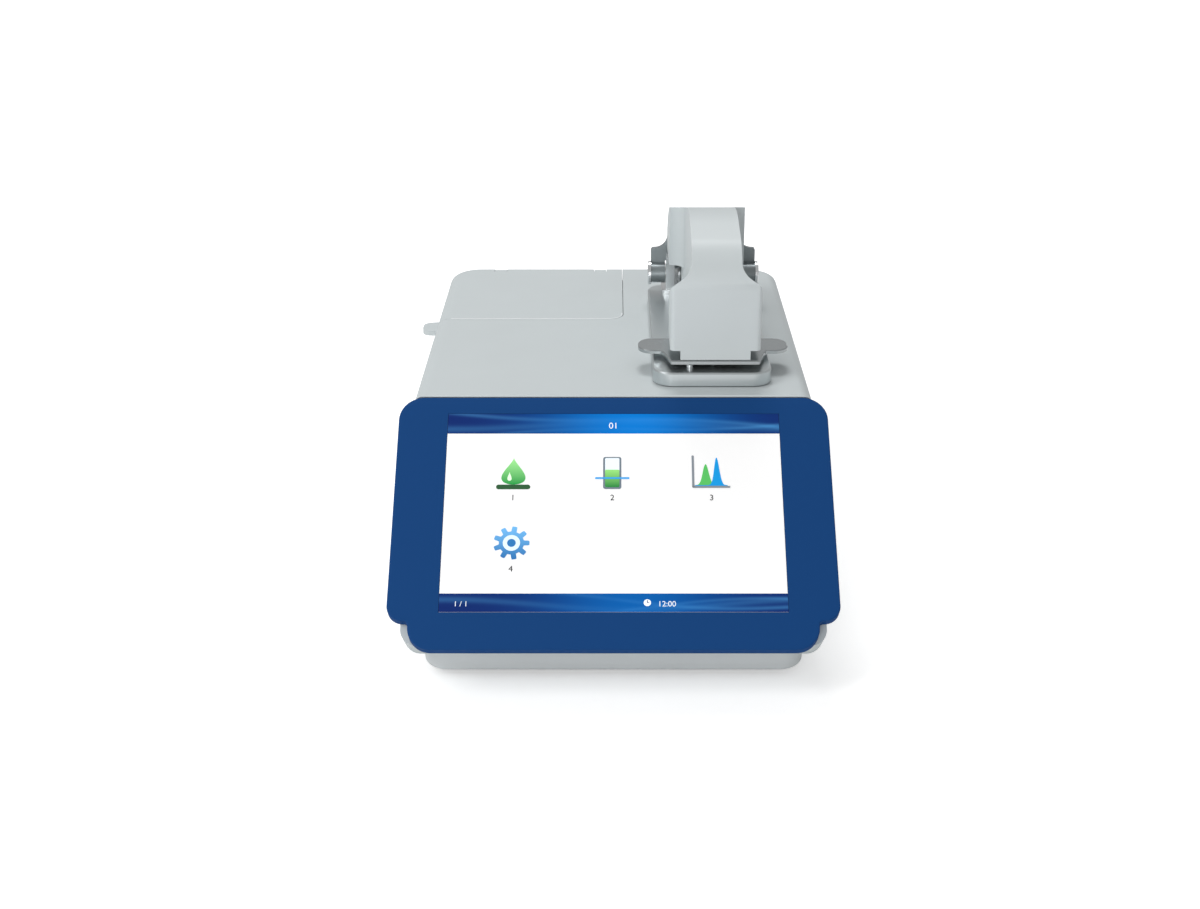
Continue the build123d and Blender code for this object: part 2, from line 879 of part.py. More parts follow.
def switch_rocker():
    """Rocker with two faces that meet at its axle, resting on its lower side."""
    back = rear_y - housing_wall
    half = switch_height / 2 - switch_wall - rocker_gap - 0.4
    half_w = switch_width / 2 - switch_wall - rocker_gap
    rise = rocker_rise
    corners = [
        (back + rise - 0.6, connector_z, 4.0),
        (back + rise + half * math.tan(math.radians(rocker_half_tilt)) - 0.6, connector_z + half, 0.5),
        (back - 2.0, connector_z + half, 0.5),
        (back - 4.0, connector_z, 0.0),
        (back - 2.0, connector_z - half, 0.5),
        (back + rise + half * math.tan(math.radians(rocker_half_tilt)) - 0.6, connector_z - half, 0.5),
    ]
    rocker = side_prism(corners, switch_x - half_w, switch_x + half_w)
    axle = rod_x(switch_x - switch_width / 2 + 0.3, switch_x + switch_width / 2 - 0.3, back, connector_z, 1.0)
    rocker = rocker + axle
    turn = Axis((0, back, connector_z), (1, 0, 0))
    return rocker.rotate(turn, -rocker_half_tilt)


# Main board
def standoff_places():
    """Places of the board standoffs."""
    xs = (board_left_x + board_screw_inset, board_right_x - board_screw_inset)
    ys = (board_front_y + board_screw_inset, board_rear_y - board_screw_inset)
    return [(x, y) for x in xs for y in ys]


def board_top_z():
    """Top face of the main board."""
    return foot_height + tray_floor + standoff_height + board_sheet


def mainboard():
    """Main circuit board with its screw holes and a notch at one corner."""
    plan = rectangle(board_left_x, board_right_x, board_front_y, board_rear_y, 2.0)
    board = plan_prism(plan, board_top_z() - board_sheet, board_top_z())
    for x, y in standoff_places():
        board = board - rod_z(x, y, 0, board_top_z() + 1, m3_radius + seat_gap)
    return board


def board_standoffs():
    """Six-sided standoffs between the tray floor and the board."""
    low = foot_height + tray_floor
    posts = []
    for x, y in standoff_places():
        sketch = Plane.XY.offset(low) * Pos(x, y) * RegularPolygon(standoff_radius, 6)
        stud = rod_z(x, y, low - floor_stud, board_top_z() + 1.5, m3_radius)
        posts.append(extrude(sketch, standoff_height, dir=(0, 0, 1)) + stud)
    return group(posts)


def board_components():
    """Processor with its finned sink, chips, capacitors and connectors on the board."""
    z = board_top_z()
    x0, y0 = board_left_x, board_front_y
    pieces = []
    sink = block(x0 + 20, x0 + 46, y0 + 40, y0 + 66, z, z + 4)
    for i in range(7):
        x = x0 + 20 + i * 4.0
        sink = sink + block(x, x + 1.4, y0 + 40, y0 + 66, z + 3, z + 12)
    pieces.append(sink)
    for i in range(3):
        x = x0 + 56 + i * 10
        pieces.append(block(x, x + 7, y0 + 44, y0 + 58, z, z + 1.4))
    for i in range(4):
        pieces.append(rod_z(x0 + 16 + i * 10, y0 + 96, z, z + 10, 3.6))
    for i in range(3):
        x = x0 + 14 + i * 24
        header = block(x, x + 16, y0 + 12, y0 + 18, z, z + 7)
        pieces.append(header - block(x + 1, x + 15, y0 + 13, y0 + 17, z + 2, z + 8))
    for i in range(2):
        pieces.append(block(x0 + 60, x0 + 76, y0 + 84 + i * 18, y0 + 94 + i * 18, z, z + 6))
    return group(pieces)


# Arm base
def base_screw_places():
    """Places of the screws that hold the arm base."""
    return [(arm_x + side * base_screw_x, y) for side in (-1, 1) for y in base_screw_ys]


def base_passages():
    """Round passages from the arm base down into the housing, with their radii."""
    return [
        (arm_x, sample_y, pedestal_body_radius + slip_gap),
        (plunger_x, plunger_y, plunger_radius + running_gap),
        (arm_x, guide_y, ferrule_radius + slip_gap),
    ]


def base_corners(inset):
    """Plan of the arm base."""
    corners = rectangle(
        base_x - base_width / 2, base_x + base_width / 2, base_front_y, base_rear_y, base_corner_radius
    )
    return drawn_in(corners, inset)


def base_gasket():
    """Thin gasket between the arm base and the housing."""
    ring = plan_prism(base_corners(gasket_inset), top_z, top_z + gasket_sheet)
    for x, y in base_screw_places():
        ring = ring - rod_z(x, y, top_z - 1, top_z + 2, base_screw_radius + slip_gap)
    for x, y, radius in base_passages():
        ring = ring - rod_z(x, y, top_z - 1, top_z + 2, radius + 1)
    return ring


def arm_base_plate():
    """Machined base of the arm with its sample moat, screw sinks and passages."""
    low = top_z + gasket_sheet
    plate = plan_prism(base_corners(0.0), low, base_top_z)
    plate = chamfer(plate.faces().sort_by(Axis.Z)[-1].edges(), base_edge_bevel)
    moat = rod_z(arm_x, sample_y, base_top_z - moat_depth, base_top_z + 1, moat_radius)
    moat = moat - rod_z(arm_x, sample_y, 0, base_top_z + 2, moat_radius - 2)
    plate = plate - moat
    sink = rod_z(arm_x, sample_y, base_top_z - 3.0, base_top_z + 1, pedestal_collar_radius + seat_gap)
    plate = plate - sink
    for x, y in base_screw_places():
        plate = plate - rod_z(x, y, 0, base_top_z, base_screw_radius + slip_gap)
        plate = plate - rod_z(x, y, base_top_z - base_screw_head, base_top_z + 1, base_screw_head_radius + slip_gap)
    for x, y, radius in base_passages():
        plate = plate - rod_z(x, y, 0, base_top_z + 1, radius)
    for x, y in bracket_screw_places():
        plate = plate - rod_z(x, y, low - 1, base_top_z + 1, m3_radius + slip_gap)
        plate = plate - rod_z(x, y, low - 1, bracket_screw_seat(), m3_head_radius + slip_gap)
    return plate


def base_plate_screws():
    """Socket screws through the arm base into the chassis."""
    screws = []
    for x, y in base_screw_places():
        seat = base_top_z - base_screw_head
        screw = pan_screw(x, y, seat, base_screw_radius - seat_gap, base_screw_length, base_screw_head_radius, 2.2)
        socket = extrude(Plane.XY.offset(seat + 0.8) * Pos(x, y) * RegularPolygon(1.5, 6), 3, dir=(0, 0, 1))
        screws.append(screw - socket)
    return group(screws)


def lower_pedestal():
    """Lower sample pedestal: a collar in the base, a polished tip and a fibre tail."""
    collar = rod_z(arm_x, sample_y, base_top_z - 3.0, base_top_z - 0.4, pedestal_collar_radius)
    tail = rod_z(arm_x, sample_y, chassis_top_z() - 14, base_top_z - 1, pedestal_body_radius)
    cone = Pos(arm_x, sample_y, base_top_z - 0.4) * Cone(
        pedestal_radius + 1.6, pedestal_radius, 0.8 + pedestal_rise - 0.6, align=(Align.CENTER, Align.CENTER, Align.MIN)
    )
    tip = rod_z(arm_x, sample_y, base_top_z - 1, base_top_z + pedestal_rise, pedestal_radius)
    return collar + tail + cone + tip


# Arm hinge
def bracket_front_y():
    """Front edge of the bracket, flush with the stop blocks."""
    return hinge_y - barrel_radius - stop_tab_sheet


def bracket_screw_places():
    """Places of the screws that come up from below into the lugs."""
    middle = (lug_inner + lug_outer) / 2
    return [(arm_x + side * middle, hinge_y + step) for side in (-1, 1) for step in (-3.4, 3.4)]


def bracket_screw_seat():
    """Height of the screw heads' seats in the underside of the arm base."""
    return top_z + gasket_sheet + m3_head + 0.4


def hinge_bracket():
    """Fixed bracket with two bored lugs and an upright stop tab on each."""
    half = lug_outer + stop_tab_sheet
    foot = plan_prism(
        rectangle(arm_x - half, arm_x + half, bracket_front_y(), bracket_rear_y, 2.0),
        base_top_z, base_top_z + bracket_foot,
    )
    bracket = foot
    for side in (-1, 1):
        x0, x1 = sorted((arm_x + side * lug_inner, arm_x + side * lug_outer))
        lug = rod_x(x0, x1, hinge_y, hinge_z, barrel_radius)
        stem = block(x0, x1, hinge_y - barrel_radius, hinge_y + barrel_radius, base_top_z + 1, hinge_z)
        front = bracket_front_y()
        low = hinge_z - stop_block_height / 2
        outer = arm_x + side * lug_outer
        inner = arm_x + side * lug_inner
        pad = plan_prism(
            [
                (outer, front, 0.0),
                (inner + side * stop_block_bevel, front, 0.0),
                (inner, front + stop_block_bevel, 0.0),
                (inner, hinge_y - 2, 0.0),
                (outer, hinge_y - 2, 0.0),
            ],
            low, low + stop_block_height,
        )
        t0, t1 = sorted((outer, outer - side * stop_tab_width))
        tab = block(t0, t1, front, front + stop_tab_sheet, low, stop_tab_top_z)
        bracket = bracket + lug + stem + pad + tab
    bore = rod_x(arm_x - knuckle_outer, arm_x + knuckle_outer, hinge_y, hinge_z, bush_radius() + seat_gap)
    bracket = bracket - bore
    for x, y in bracket_screw_places():
        bracket = bracket - rod_z(x, y, base_top_z - 1, base_top_z + 5, m3_radius)
    return bracket


def bush_radius():
    """Outer radius of the hinge bushes."""
    return hinge_pin_radius + running_gap + bush_wall


def hinge_bracket_screws():
    """Screws from the underside of the arm base up into the bracket's lugs."""
    screws = []
    seat = bracket_screw_seat()
    for x, y in bracket_screw_places():
        shank = rod_z(x, y, seat, base_top_z + 4.5, m3_radius - seat_gap)
        screws.append(shank + rod_z(x, y, seat - m3_head, seat, m3_head_radius))
    return group(screws)


def hinge_bushes():
    """Plain bushes in the bracket lugs."""
    bushes = []
    for side in (-1, 1):
        x0, x1 = sorted((arm_x + side * lug_inner, arm_x + side * lug_outer))
        bush = rod_x(x0, x1, hinge_y, hinge_z, bush_radius())
        bushes.append(bush - rod_x(x0 - 1, x1 + 1, hinge_y, hinge_z, hinge_pin_radius + running_gap))
    return group(bushes)


def hinge_pin():
    """Pin through both lugs and all the arm's knuckles."""
    return rod_x(arm_x - knuckle_outer, arm_x + knuckle_outer, hinge_y, hinge_z, hinge_pin_radius)


def hinge_end_caps():
    """Round caps on both ends of the pin, each with a dished face."""
    caps = []
    for side in (-1, 1):
        x0, x1 = sorted((arm_x + side * knuckle_outer, arm_x + side * (knuckle_outer + cap_length)))
        cap = rod_x(x0, x1, hinge_y, hinge_z, cap_radius)
        outer = arm_x + side * (knuckle_outer + cap_length)
        rim = cap.edges().filter_by_position(Axis.X, outer - 0.01, outer + 0.01)
        cap = chamfer(rim, 0.5)
        d0, d1 = sorted((outer - side * 0.5, outer + side))
        caps.append(cap - rod_x(d0, d1, hinge_y, hinge_z, 2.2))
    return group(caps)


# Arm
def cover_profile():
    """Side outline of the arm cover, from its front foot over the crown to its back."""
    return [
        (cover_front_y, cover_bottom_z, 0.0),
        (cover_front_y, brow_z, brow_radius),
        (crown_y, crown_z, crown_radius),
        (shoulder_back_y, shoulder_back_z, block_top_radius),
        (cover_back_y, back_top_z, 8.0),
        (cover_back_y, cover_bottom_z, 0.0),
    ]


def cover_plan():
    """Plan of the arm cover: a wide head, a narrow neck and a wide rear block."""
    right = [
        (head_half_width, cover_front_y, 2.5),
        (head_half_width, head_back_y, 3.0),
        (neck_half_width, head_back_y, 5.0),
        (neck_half_width, neck_back_y, scoop_radius),
        (block_half_width, neck_back_y, 0.0),
        (block_half_width, cover_back_y, 0.0),
    ]
    left = [(-x, y, radius) for x, y, radius in reversed(right)]
    return [(arm_x + x, y, radius) for x, y, radius in right + left]


def flare_cut(inset):
    """Space on both sides of the neck, down to the shoulders from which the head begins."""
    fall = math.tan(math.radians(flare_slope))
    back = neck_back_y - scoop_radius
    lead = 10.0
    cuts = []
    for side in (-1, 1):
        shoulder = [
            (neck_half_width, crown_z + 20, 0.0),
            (neck_half_width, flare_high_z, flare_radius),
            (head_half_width, flare_low_z, head_corner_radius),
            (head_half_width + 1, flare_low_z - 12, 0.0),
            (head_half_width + 20, flare_low_z - 12, 0.0),
            (head_half_width + 20, crown_z + 20, 0.0),
        ]
        corners = drawn_in(shoulder, -inset)
        raised = [(arm_x + side * x, z + lead * fall, radius) for x, z, radius in corners]
        face = Plane.XZ.offset(lead - cover_front_y) * outline(raised)
        length = (back - cover_front_y + lead) * math.hypot(1, fall)
        cuts.append(extrude(face, length, dir=(0, 1, -fall)))
    return joined(cuts)


def cover_form(inset):
    """Closed form of the arm cover, drawn in by inset."""
    side = side_prism(drawn_in(cover_profile(), inset), arm_x - 40, arm_x + 40)
    plan = plan_prism(drawn_in(cover_plan(), inset), cover_bottom_z - 5, crown_z + 5)
    return (side & plan) - flare_cut(inset)


def arm_cover():
    """Moulded arm cover: a thin shell open below and behind."""
    outer = cover_form(0.0)
    inner = cover_form(cover_wall)
    inner = inner + (inner & block(-200, 200, -200, 200, 0, block_floor_z + 3 * cover_wall)).moved(Location((0, 0, -cover_wall - 1)))
    for side in (-1, 1):
        x0, x1 = sorted((arm_x + side * (neck_half_width - cover_wall), arm_x + side * 40))
        inner = inner - block(x0, x1, neck_back_y - 2 * scoop_radius, cover_back_y, 0, block_floor_z + cover_wall)
    back = block(
        arm_x - block_half_width + cover_wall, arm_x + block_half_width - cover_wall,
        cover_back_y - 2 * cover_wall, cover_back_y + 1, block_floor_z, frame_beam_high_z + 1,
    )
    shell = outer - inner - back
    for side in (-1, 1):
        x0, x1 = sorted((arm_x + side * (neck_half_width + seam), arm_x + side * 40))
        shell = shell - block(x0, x1, neck_back_y - 2 * scoop_radius, cover_back_y + 1, 0, block_floor_z)
        n0, n1 = sorted((arm_x + side * tongue_half, arm_x + side * 40))
        shell = shell - block(n0, n1, cover_front_y - 1, head_back_y + 5, 0, notch_z)
    shell = shell - block(arm_x - 40, arm_x + 40, head_back_y - 6, cover_back_y + 1, 0, cover_belly_z)
    central = rod_x(arm_x - lug_inner, arm_x + lug_inner, hinge_y, hinge_z, barrel_radius + 3)
    shell = shell - central
    return shell - block(arm_x - 40, arm_x + 40, hinge_y - barrel_radius - 3, cover_back_y + 1, 0, hinge_z + 6)


def arm_frame():
    """Cast frame: rear plate with knuckles, a beam in the neck and the head boss."""
    plate_back = cover_back_y + frame_sheet
    wing = knuckle_outer
    top = back_top_z - 4
    plate = front_prism(
        [
            (arm_x - wing, hinge_z, 0.0),
            (arm_x + wing, hinge_z, 0.0),
            (arm_x + wing, frame_wing_top_z, 1.5),
            (arm_x + block_half_width, frame_wing_top_z, frame_fillet - 1),
            (arm_x + block_half_width, top, 2.0),
            (arm_x - block_half_width, top, 2.0),
            (arm_x - block_half_width, frame_wing_top_z, frame_fillet - 1),
            (arm_x - wing, frame_wing_top_z, 1.5),
        ],
        cover_back_y, plate_back,
    )
    frame = plate
    spans = [(-knuckle_outer, -lug_outer - seam), (-lug_inner + seam, lug_inner - seam), (lug_outer + seam, knuckle_outer)]
    for x0, x1 in spans:
        frame = frame + rod_x(arm_x + x0, arm_x + x1, hinge_y, hinge_z, barrel_radius)
        web = block(arm_x + x0, arm_x + x1, hinge_y, plate_back, hinge_z, hinge_z + barrel_radius)
        frame = frame + (web - block(-200, 200, plate_back, plate_back + 9, 0, 300))
    for side in (-1, 1):
        x0, x1 = sorted((arm_x + side * (lug_inner - seam), arm_x + side * (lug_outer + seam)))
        frame = frame - block(x0, x1, hinge_y - 9, plate_back + 1, hinge_z - 9, hinge_z + barrel_radius + 1)
    beam = block(
        arm_x - frame_beam_half, arm_x + frame_beam_half, boss_back_y - 2, cover_back_y + 1,
        frame_beam_low_z, frame_beam_high_z,
    )
    boss = plan_prism(
        rectangle(arm_x - boss_half_width, arm_x + boss_half_width, boss_front_y, boss_back_y, 3.0),
        lift_top_z(), frame_beam_high_z,
    )
    frame = frame + beam + boss
    frame = frame - rod_z(arm_x, sample_y, 0, 300, pedestal_bore_radius + seat_gap)
    frame = frame - rod_x(arm_x - 40, arm_x + 40, hinge_y, hinge_z, hinge_pin_radius + seat_gap)
    for x, y in lift_screw_places():
        frame = frame - rod_z(x, y, 0, lift_top_z() + 8, m3_radius)
    for x, z in arm_screw_places():
        frame = frame - rod_y(x, cover_back_y - 5, plate_back + 1, z, m3_radius + slip_gap)
    return frame


def lift_top_z():
    """Top face of the lift plate."""
    return base_top_z + lift_gap + lift_sheet


def lift_screw_places():
    """Places of the screws that hold the lift plate to the head boss."""
    ys = (boss_front_y + 3.6, boss_back_y - 3.6)
    return [(arm_x + side * (boss_half_width - 3.4), y) for side in (-1, 1) for y in ys]


def arm_screw_places():
    """X and Z of the screws through the rear plate."""
    return [(arm_x + side * (block_half_width - 5.5), block_floor_z + 6.5) for side in (-1, 1)]


def arm_screws():
    """Screws through the rear plate into posts of the cover."""
    screws = []
    for x, z in arm_screw_places():
        seat = cover_back_y + frame_sheet
        shank = rod_y(x, seat - 9, seat, z, m3_radius - seat_gap)
        screws.append(shank + rod_y(x, seat, seat + 1.4, z, m3_head_radius))
    return group(screws)


def cover_posts():
    """Hollow posts inside the cover that take the rear screws."""
    posts = []
    for x, z in arm_screw_places():
        side = 1 if x > arm_x else -1
        wall = arm_x + side * (block_half_width - cover_wall / 2)
        x0, x1 = sorted((x, wall))
        post = rod_y(x, cover_back_y - 12, cover_back_y, z, 2.8) + block(x0, x1, cover_back_y - 12, cover_back_y, z - 1, z + 1)
        posts.append(post - rod_y(x, cover_back_y - 8, cover_back_y + 1, z, m3_radius))
    return joined(posts)


def underside_corners():
    """Plan of the underside panel, just inside the cover's walls."""
    front = [
        (head_half_width, cover_front_y, 2.5),
        (head_half_width, head_back_y, 3.0),
        (neck_half_width, head_back_y, 5.0),
        (neck_half_width, hinge_y - barrel_radius - 4, 0.0),
    ]
    left = [(-x, y, radius) for x, y, radius in reversed(front)]
    corners = [(arm_x + x, y, radius) for x, y, radius in front + left]
    return drawn_in(corners, cover_wall + slip_gap)


def arm_underside():
    """Panel that closes the arm from below, round the head boss."""
    low = notch_z
    panel = plan_prism(underside_corners(), low, low + underside_sheet)
    boss = rectangle(arm_x - boss_half_width, arm_x + boss_half_width, boss_front_y, boss_back_y, 3.0)
    return panel - plan_prism(drawn_in(boss, -slip_gap), low - 1, low + underside_sheet + 1)


def lift_plate():
    """Sheet steel plate under the head, with a rounded finger ear on each side."""
    right = [
        (lift_front_half, lift_front_y, 1.0),
        (lift_neck_half, lift_neck_y, 2.0),
        (lift_neck_half + 1.5, ear_front_y, 1.2),
        (ear_half_span, ear_front_y, ear_radius),
        (ear_half_span, ear_rear_y, ear_radius),
        (lift_rear_half, ear_rear_y, 3.0),
        (lift_rear_half, lift_rear_y, 4.0),
    ]
    left = [(-x, y, radius) for x, y, radius in reversed(right)]
    corners = [(arm_x + x, y, radius) for x, y, radius in right + left]
    low = base_top_z + lift_gap
    plate = plan_prism(corners, low, low + lift_sheet)
    plate = chamfer(plate.faces().sort_by(Axis.Z)[-1].edges(), 0.5)
    plate = plate - rod_z(arm_x, sample_y, 0, 300, pedestal_bore_radius + slip_gap)
    for x, y in lift_screw_places():
        plate = plate - rod_z(x, y, 0, 300, m3_radius + slip_gap)
        plate = plate - rod_z(x, y, 0, low + lift_screw_sink, m3_head_radius + slip_gap)
    return plate


def lift_plate_screws():
    """Flush screws that hold the lift plate to the head boss."""
    screws = []
    for x, y in lift_screw_places():
        seat = base_top_z + lift_gap + lift_screw_sink
        screws.append(rod_z(x, y, seat - lift_screw_sink + 0.1, seat, m3_head_radius) + rod_z(x, y, seat, seat + 7, m3_radius - seat_gap))
    return group(screws)


def upper_pedestal():
    """Upper sample pedestal in the head boss, with its tip over the lower one."""
    tip_z = base_top_z + pedestal_rise + sample_gap
    low = base_top_z + lift_gap + 0.3
    body = rod_z(arm_x, sample_y, low, lift_top_z() + 20, pedestal_bore_radius)
    tip = rod_z(arm_x, sample_y, tip_z, low + 1, pedestal_radius)
    tail = rod_z(arm_x, sample_y, lift_top_z() + 19, lift_top_z() + 20 + ferrule_length, ferrule_radius)
    return body + tip + tail


# Path length drive
def chassis_top_z():
    """Underside of the housing's top wall, where the chassis lies."""
    return top_z - housing_wall


def path_plunger():
    """Plunger that lifts the arm by a set amount, with its threaded body below."""
    top = base_top_z + lift_gap - plunger_gap
    rod = rod_z(plunger_x, plunger_y, plunger_body_high_z - 1, top, plunger_radius)
    rod = chamfer(rod.edges().sort_by(Axis.Z)[-1], 0.6)
    body = rod_z(plunger_x, plunger_y, plunger_body_low_z, plunger_body_high_z, plunger_body_radius)
    bore = rod_z(plunger_x, plunger_y, plunger_body_low_z - 1, screw_top_z + 2 + plunger_travel, screw_radius + thread_gap)
    return rod + body - bore


def lead_screw():
    """Motor shaft with its screw end, which turns inside the plunger."""
    shaft = rod_z(plunger_x, plunger_y, motor_high_z - 2.5, screw_top_z, screw_radius)
    collar = rod_z(plunger_x, plunger_y, motor_high_z + motor_bracket_sheet + 0.5, motor_high_z + 5.0, screw_radius + 2)
    flat = block(plunger_x + screw_radius + 1, plunger_x + 9, plunger_y - 9, plunger_y + 9, motor_high_z, motor_high_z + 5.5)
    return shaft + collar - flat


def stepper_motor():
    """Small can motor with a mounting flange and a ring of crimps."""
    body = rod_z(plunger_x, plunger_y, motor_low_z, motor_high_z, motor_radius)
    body = chamfer(body.edges().sort_by(Axis.Z)[0], 1.0)
    flange = plan_prism(
        rectangle(plunger_x - 14, plunger_x + 14, plunger_y - 4, plunger_y + 4, 3.9), motor_high_z - 1.2, motor_high_z
    )
    pocket = rod_z(plunger_x, plunger_y, motor_high_z - 3, motor_high_z + 1, screw_radius + 1)
    plug = block(plunger_x - 5, plunger_x + 5, plunger_y, plunger_y + motor_radius + 3, motor_low_z + 4, motor_low_z + 10)
    return body + flange + plug - pocket


def motor_bracket():
    """Sheet bracket that hangs the motor from the chassis."""
    low, sheet = motor_high_z, motor_bracket_sheet
    half = motor_bracket_half
    shelf = block(plunger_x - half, plunger_x + half, plunger_y - 6, plunger_y + 12, low, low + sheet)
    bracket = shelf
    for side in (-1, 1):
        x0, x1 = sorted((plunger_x + side * half, plunger_x + side * (half - sheet)))
        leg = block(x0, x1, plunger_y - 6, plunger_y + 12, low, chassis_top_z() - chassis_sheet)
        f0, f1 = sorted((plunger_x + side * half, plunger_x + side * (half - 5)))
        foot = block(
            f0, f1, plunger_y - 6, plunger_y + 12,
            chassis_top_z() - chassis_sheet - sheet, chassis_top_z() - chassis_sheet,
        )
        bracket = bracket + leg + foot
    bracket = bracket - rod_z(plunger_x, plunger_y, low - 1, low + sheet + 1, screw_radius + 2 + slip_gap)
    window = block(plunger_x - 40, plunger_x + 40, plunger_y - 1, plunger_y + 7, low + 8, chassis_top_z() - 10)
    return bracket - window


def chassis():
    """Folded sheet bridge from the tray floor up to the arm base."""
    left, right = arm_x - chassis_half_width, arm_x + chassis_half_width
    low, high, sheet = foot_height + tray_floor, chassis_top_z(), chassis_sheet
    fold = 3.0
    corners = [
        (left - chassis_foot, low, 0.0),
        (left + sheet, low, 1.0 + sheet),
        (left + sheet, high - sheet, fold),
        (right - sheet, high - sheet, fold),
        (right - sheet, low + sheet, 1.0),
        (right - chassis_foot, low + sheet, 0.0),
        (right - chassis_foot, low, 0.0),
        (right, low, 1.0 + sheet),
        (right, high, fold + sheet),
        (left, high, fold + sheet),
        (left, low + sheet, 1.0),
        (left - chassis_foot, low + sheet, 0.0),
    ]
    bridge = front_prism(corners, chassis_front_y, chassis_rear_y)
    span = chassis_rear_y - chassis_front_y
    count = 3
    pitch = span / count
    for i in range(count):
        middle = chassis_front_y + pitch * (i + 0.5)
        half = chassis_window / 2
        opening = [
            (middle - half, low + 14, 6.0),
            (middle + half, low + 14, 6.0),
            (middle + half, high - 14, 6.0),
            (middle - half, high - 14, 6.0),
        ]
        bridge = bridge - side_prism(opening, left - 5, right + 5)
    for x, y in base_screw_places():
        bridge = bridge - rod_z(x, y, high - 5, high + 1, base_screw_radius)
    for x, y, radius in base_passages():
        bridge = bridge - rod_z(x, y, high - 5, high + 1, radius + 1)
    for x, y in chassis_screw_places():
        bridge = bridge - rod_z(x, y, 0, low + 5, m3_radius + slip_gap)
    return bridge


def chassis_screw_places():
    """Places of the screws through the chassis feet."""
    left = arm_x - chassis_half_width - chassis_foot / 2
    right = arm_x + chassis_half_width - (chassis_foot + chassis_sheet) / 2
    return [(x, y) for x in (left, right) for y in (chassis_front_y + 14, chassis_rear_y - 14)]


def chassis_screws():
    """Screws that hold the chassis feet to the tray."""
    low = foot_height + tray_floor
    screws = []
    for x, y in chassis_screw_places():
        length = chassis_sheet + floor_stud
        screws.append(pan_screw(x, y, low + chassis_sheet, m3_radius, length, m3_head_radius, m3_head))
    return group(screws)


# Spectrometer
def spectrometer_corners(inset):
    """Plan of the spectrometer, with one corner cut for the folded light path."""
    left, right = spectrometer_x - spectrometer_half, spectrometer_x + spectrometer_half
    corners = [
        (left, spectrometer_front_y, 3.0),
        (right, spectrometer_front_y, 3.0),
        (right, spectrometer_rear_y - 18, 3.0),
        (right - 18, spectrometer_rear_y, 3.0),
        (left, spectrometer_rear_y, 3.0),
    ]
    return drawn_in(corners, inset)


def fibre_port_z():
    """Height of the fibre port in the spectrometer's front."""
    return spectrometer_low_z + spectrometer_height / 2


def case_foot_places():
    """Places of the four feet of the spectrometer case."""
    inset = spectrometer_foot_radius + spectrometer_wall
    xs = (spectrometer_x - spectrometer_half + inset, spectrometer_x + spectrometer_half - inset)
    ys = (spectrometer_front_y + inset, spectrometer_rear_y - 18 - inset)
    return [(x, y) for x in xs for y in ys]


def spectrometer_case():
    """Machined case with feet, open on top, with ports for the fibre and the sensor."""
    low = spectrometer_low_z
    high = low + spectrometer_height
    case = plan_prism(spectrometer_corners(0.0), low, high)
    case = case - plan_prism(spectrometer_corners(spectrometer_wall), low + spectrometer_wall, high + 1)
    floor_z = foot_height + tray_floor
    for x, y in case_foot_places():
        case = case + rod_z(x, y, floor_z, low + 1, spectrometer_foot_radius)
        case = case + rod_z(x, y, floor_z - floor_stud, floor_z + 1, floor_peg_radius)
    port = rod_y(spectrometer_x, spectrometer_front_y - 1, spectrometer_front_y + 9, fibre_port_z(), ferrule_radius + seat_gap)
    slot = block(
        spectrometer_x - spectrometer_half - 1, spectrometer_x - spectrometer_half + 9,
        spectrometer_front_y + 30, spectrometer_front_y + 60, fibre_port_z() - 4, fibre_port_z() + 4,
    )
    return case - port - slot


def spectrometer_lid():
    """Lid plate that seals the spectrometer."""
    high = spectrometer_low_z + spectrometer_height
    lid = plan_prism(spectrometer_corners(0.0), high, high + spectrometer_lid_sheet)
    plug = plan_prism(spectrometer_corners(spectrometer_wall + slip_gap), high - 1.5, high + 0.5)
    return lid + plug


def upright_optic(x, y, width, angle):
    """Square optic on a round stub, turned about its upright."""
    low = spectrometer_low_z + spectrometer_wall
    plate = Rot(0, 0, angle) * block(-width / 2, width / 2, 0, optic_sheet, 4, 4 + width)
    stub = rod_z(0, 0, 0, 5, 4.0)
    return Pos(x, y, low) * (plate + stub)


def diffraction_grating():
    """Ruled grating at the back of the spectrometer."""
    return upright_optic(spectrometer_x + 8, spectrometer_front_y + 22, grating_width, 25)


def spectrometer_mirrors():
    """Two curved mirrors that collimate and focus the beam."""
    low = spectrometer_low_z + spectrometer_wall
    mirrors = []
    for x, angle in ((spectrometer_x - 13, 8), (spectrometer_x + 6, -12)):
        mirror = upright_optic(0, 0, mirror_width, 0)
        bowl = Pos(0, -38, low + 4 + mirror_width / 2) * Sphere(38.8)
        mirror = mirror - bowl
        mirrors.append(Pos(x, spectrometer_rear_y - 24, 0) * Rot(0, 0, angle) * mirror)
    return group(mirrors)


def sensor_board():
    """Sensor board on the side of the spectrometer, with its line sensor in the slot."""
    x1 = spectrometer_x - spectrometer_half
    y0 = spectrometer_front_y
    z = fibre_port_z()
    board = block(x1 - optic_board_sheet, x1, y0 + 24, y0 + 66, z - 12, z + 12)
    sensor = block(x1 - 0.5, x1 + 2.0, y0 + 31, y0 + 59, z - 3.5, z + 3.5)
    return board + sensor


def spectrometer_fibre():
    """Fibre from the lower pedestal's tail down and back into the spectrometer."""
    top = chassis_top_z() - 14
    z = fibre_port_z()
    route = [(arm_x, sample_y, top), (arm_x, sample_y, z), (arm_x, spectrometer_front_y, z)]
    return fibre(route, fibre_radius) + rod_y(arm_x, spectrometer_front_y - 4, spectrometer_front_y + 4, z, ferrule_radius)


# Lamp
def lamp_low_z():
    """Seat of the lamp on the tray floor."""
    return foot_height + tray_floor


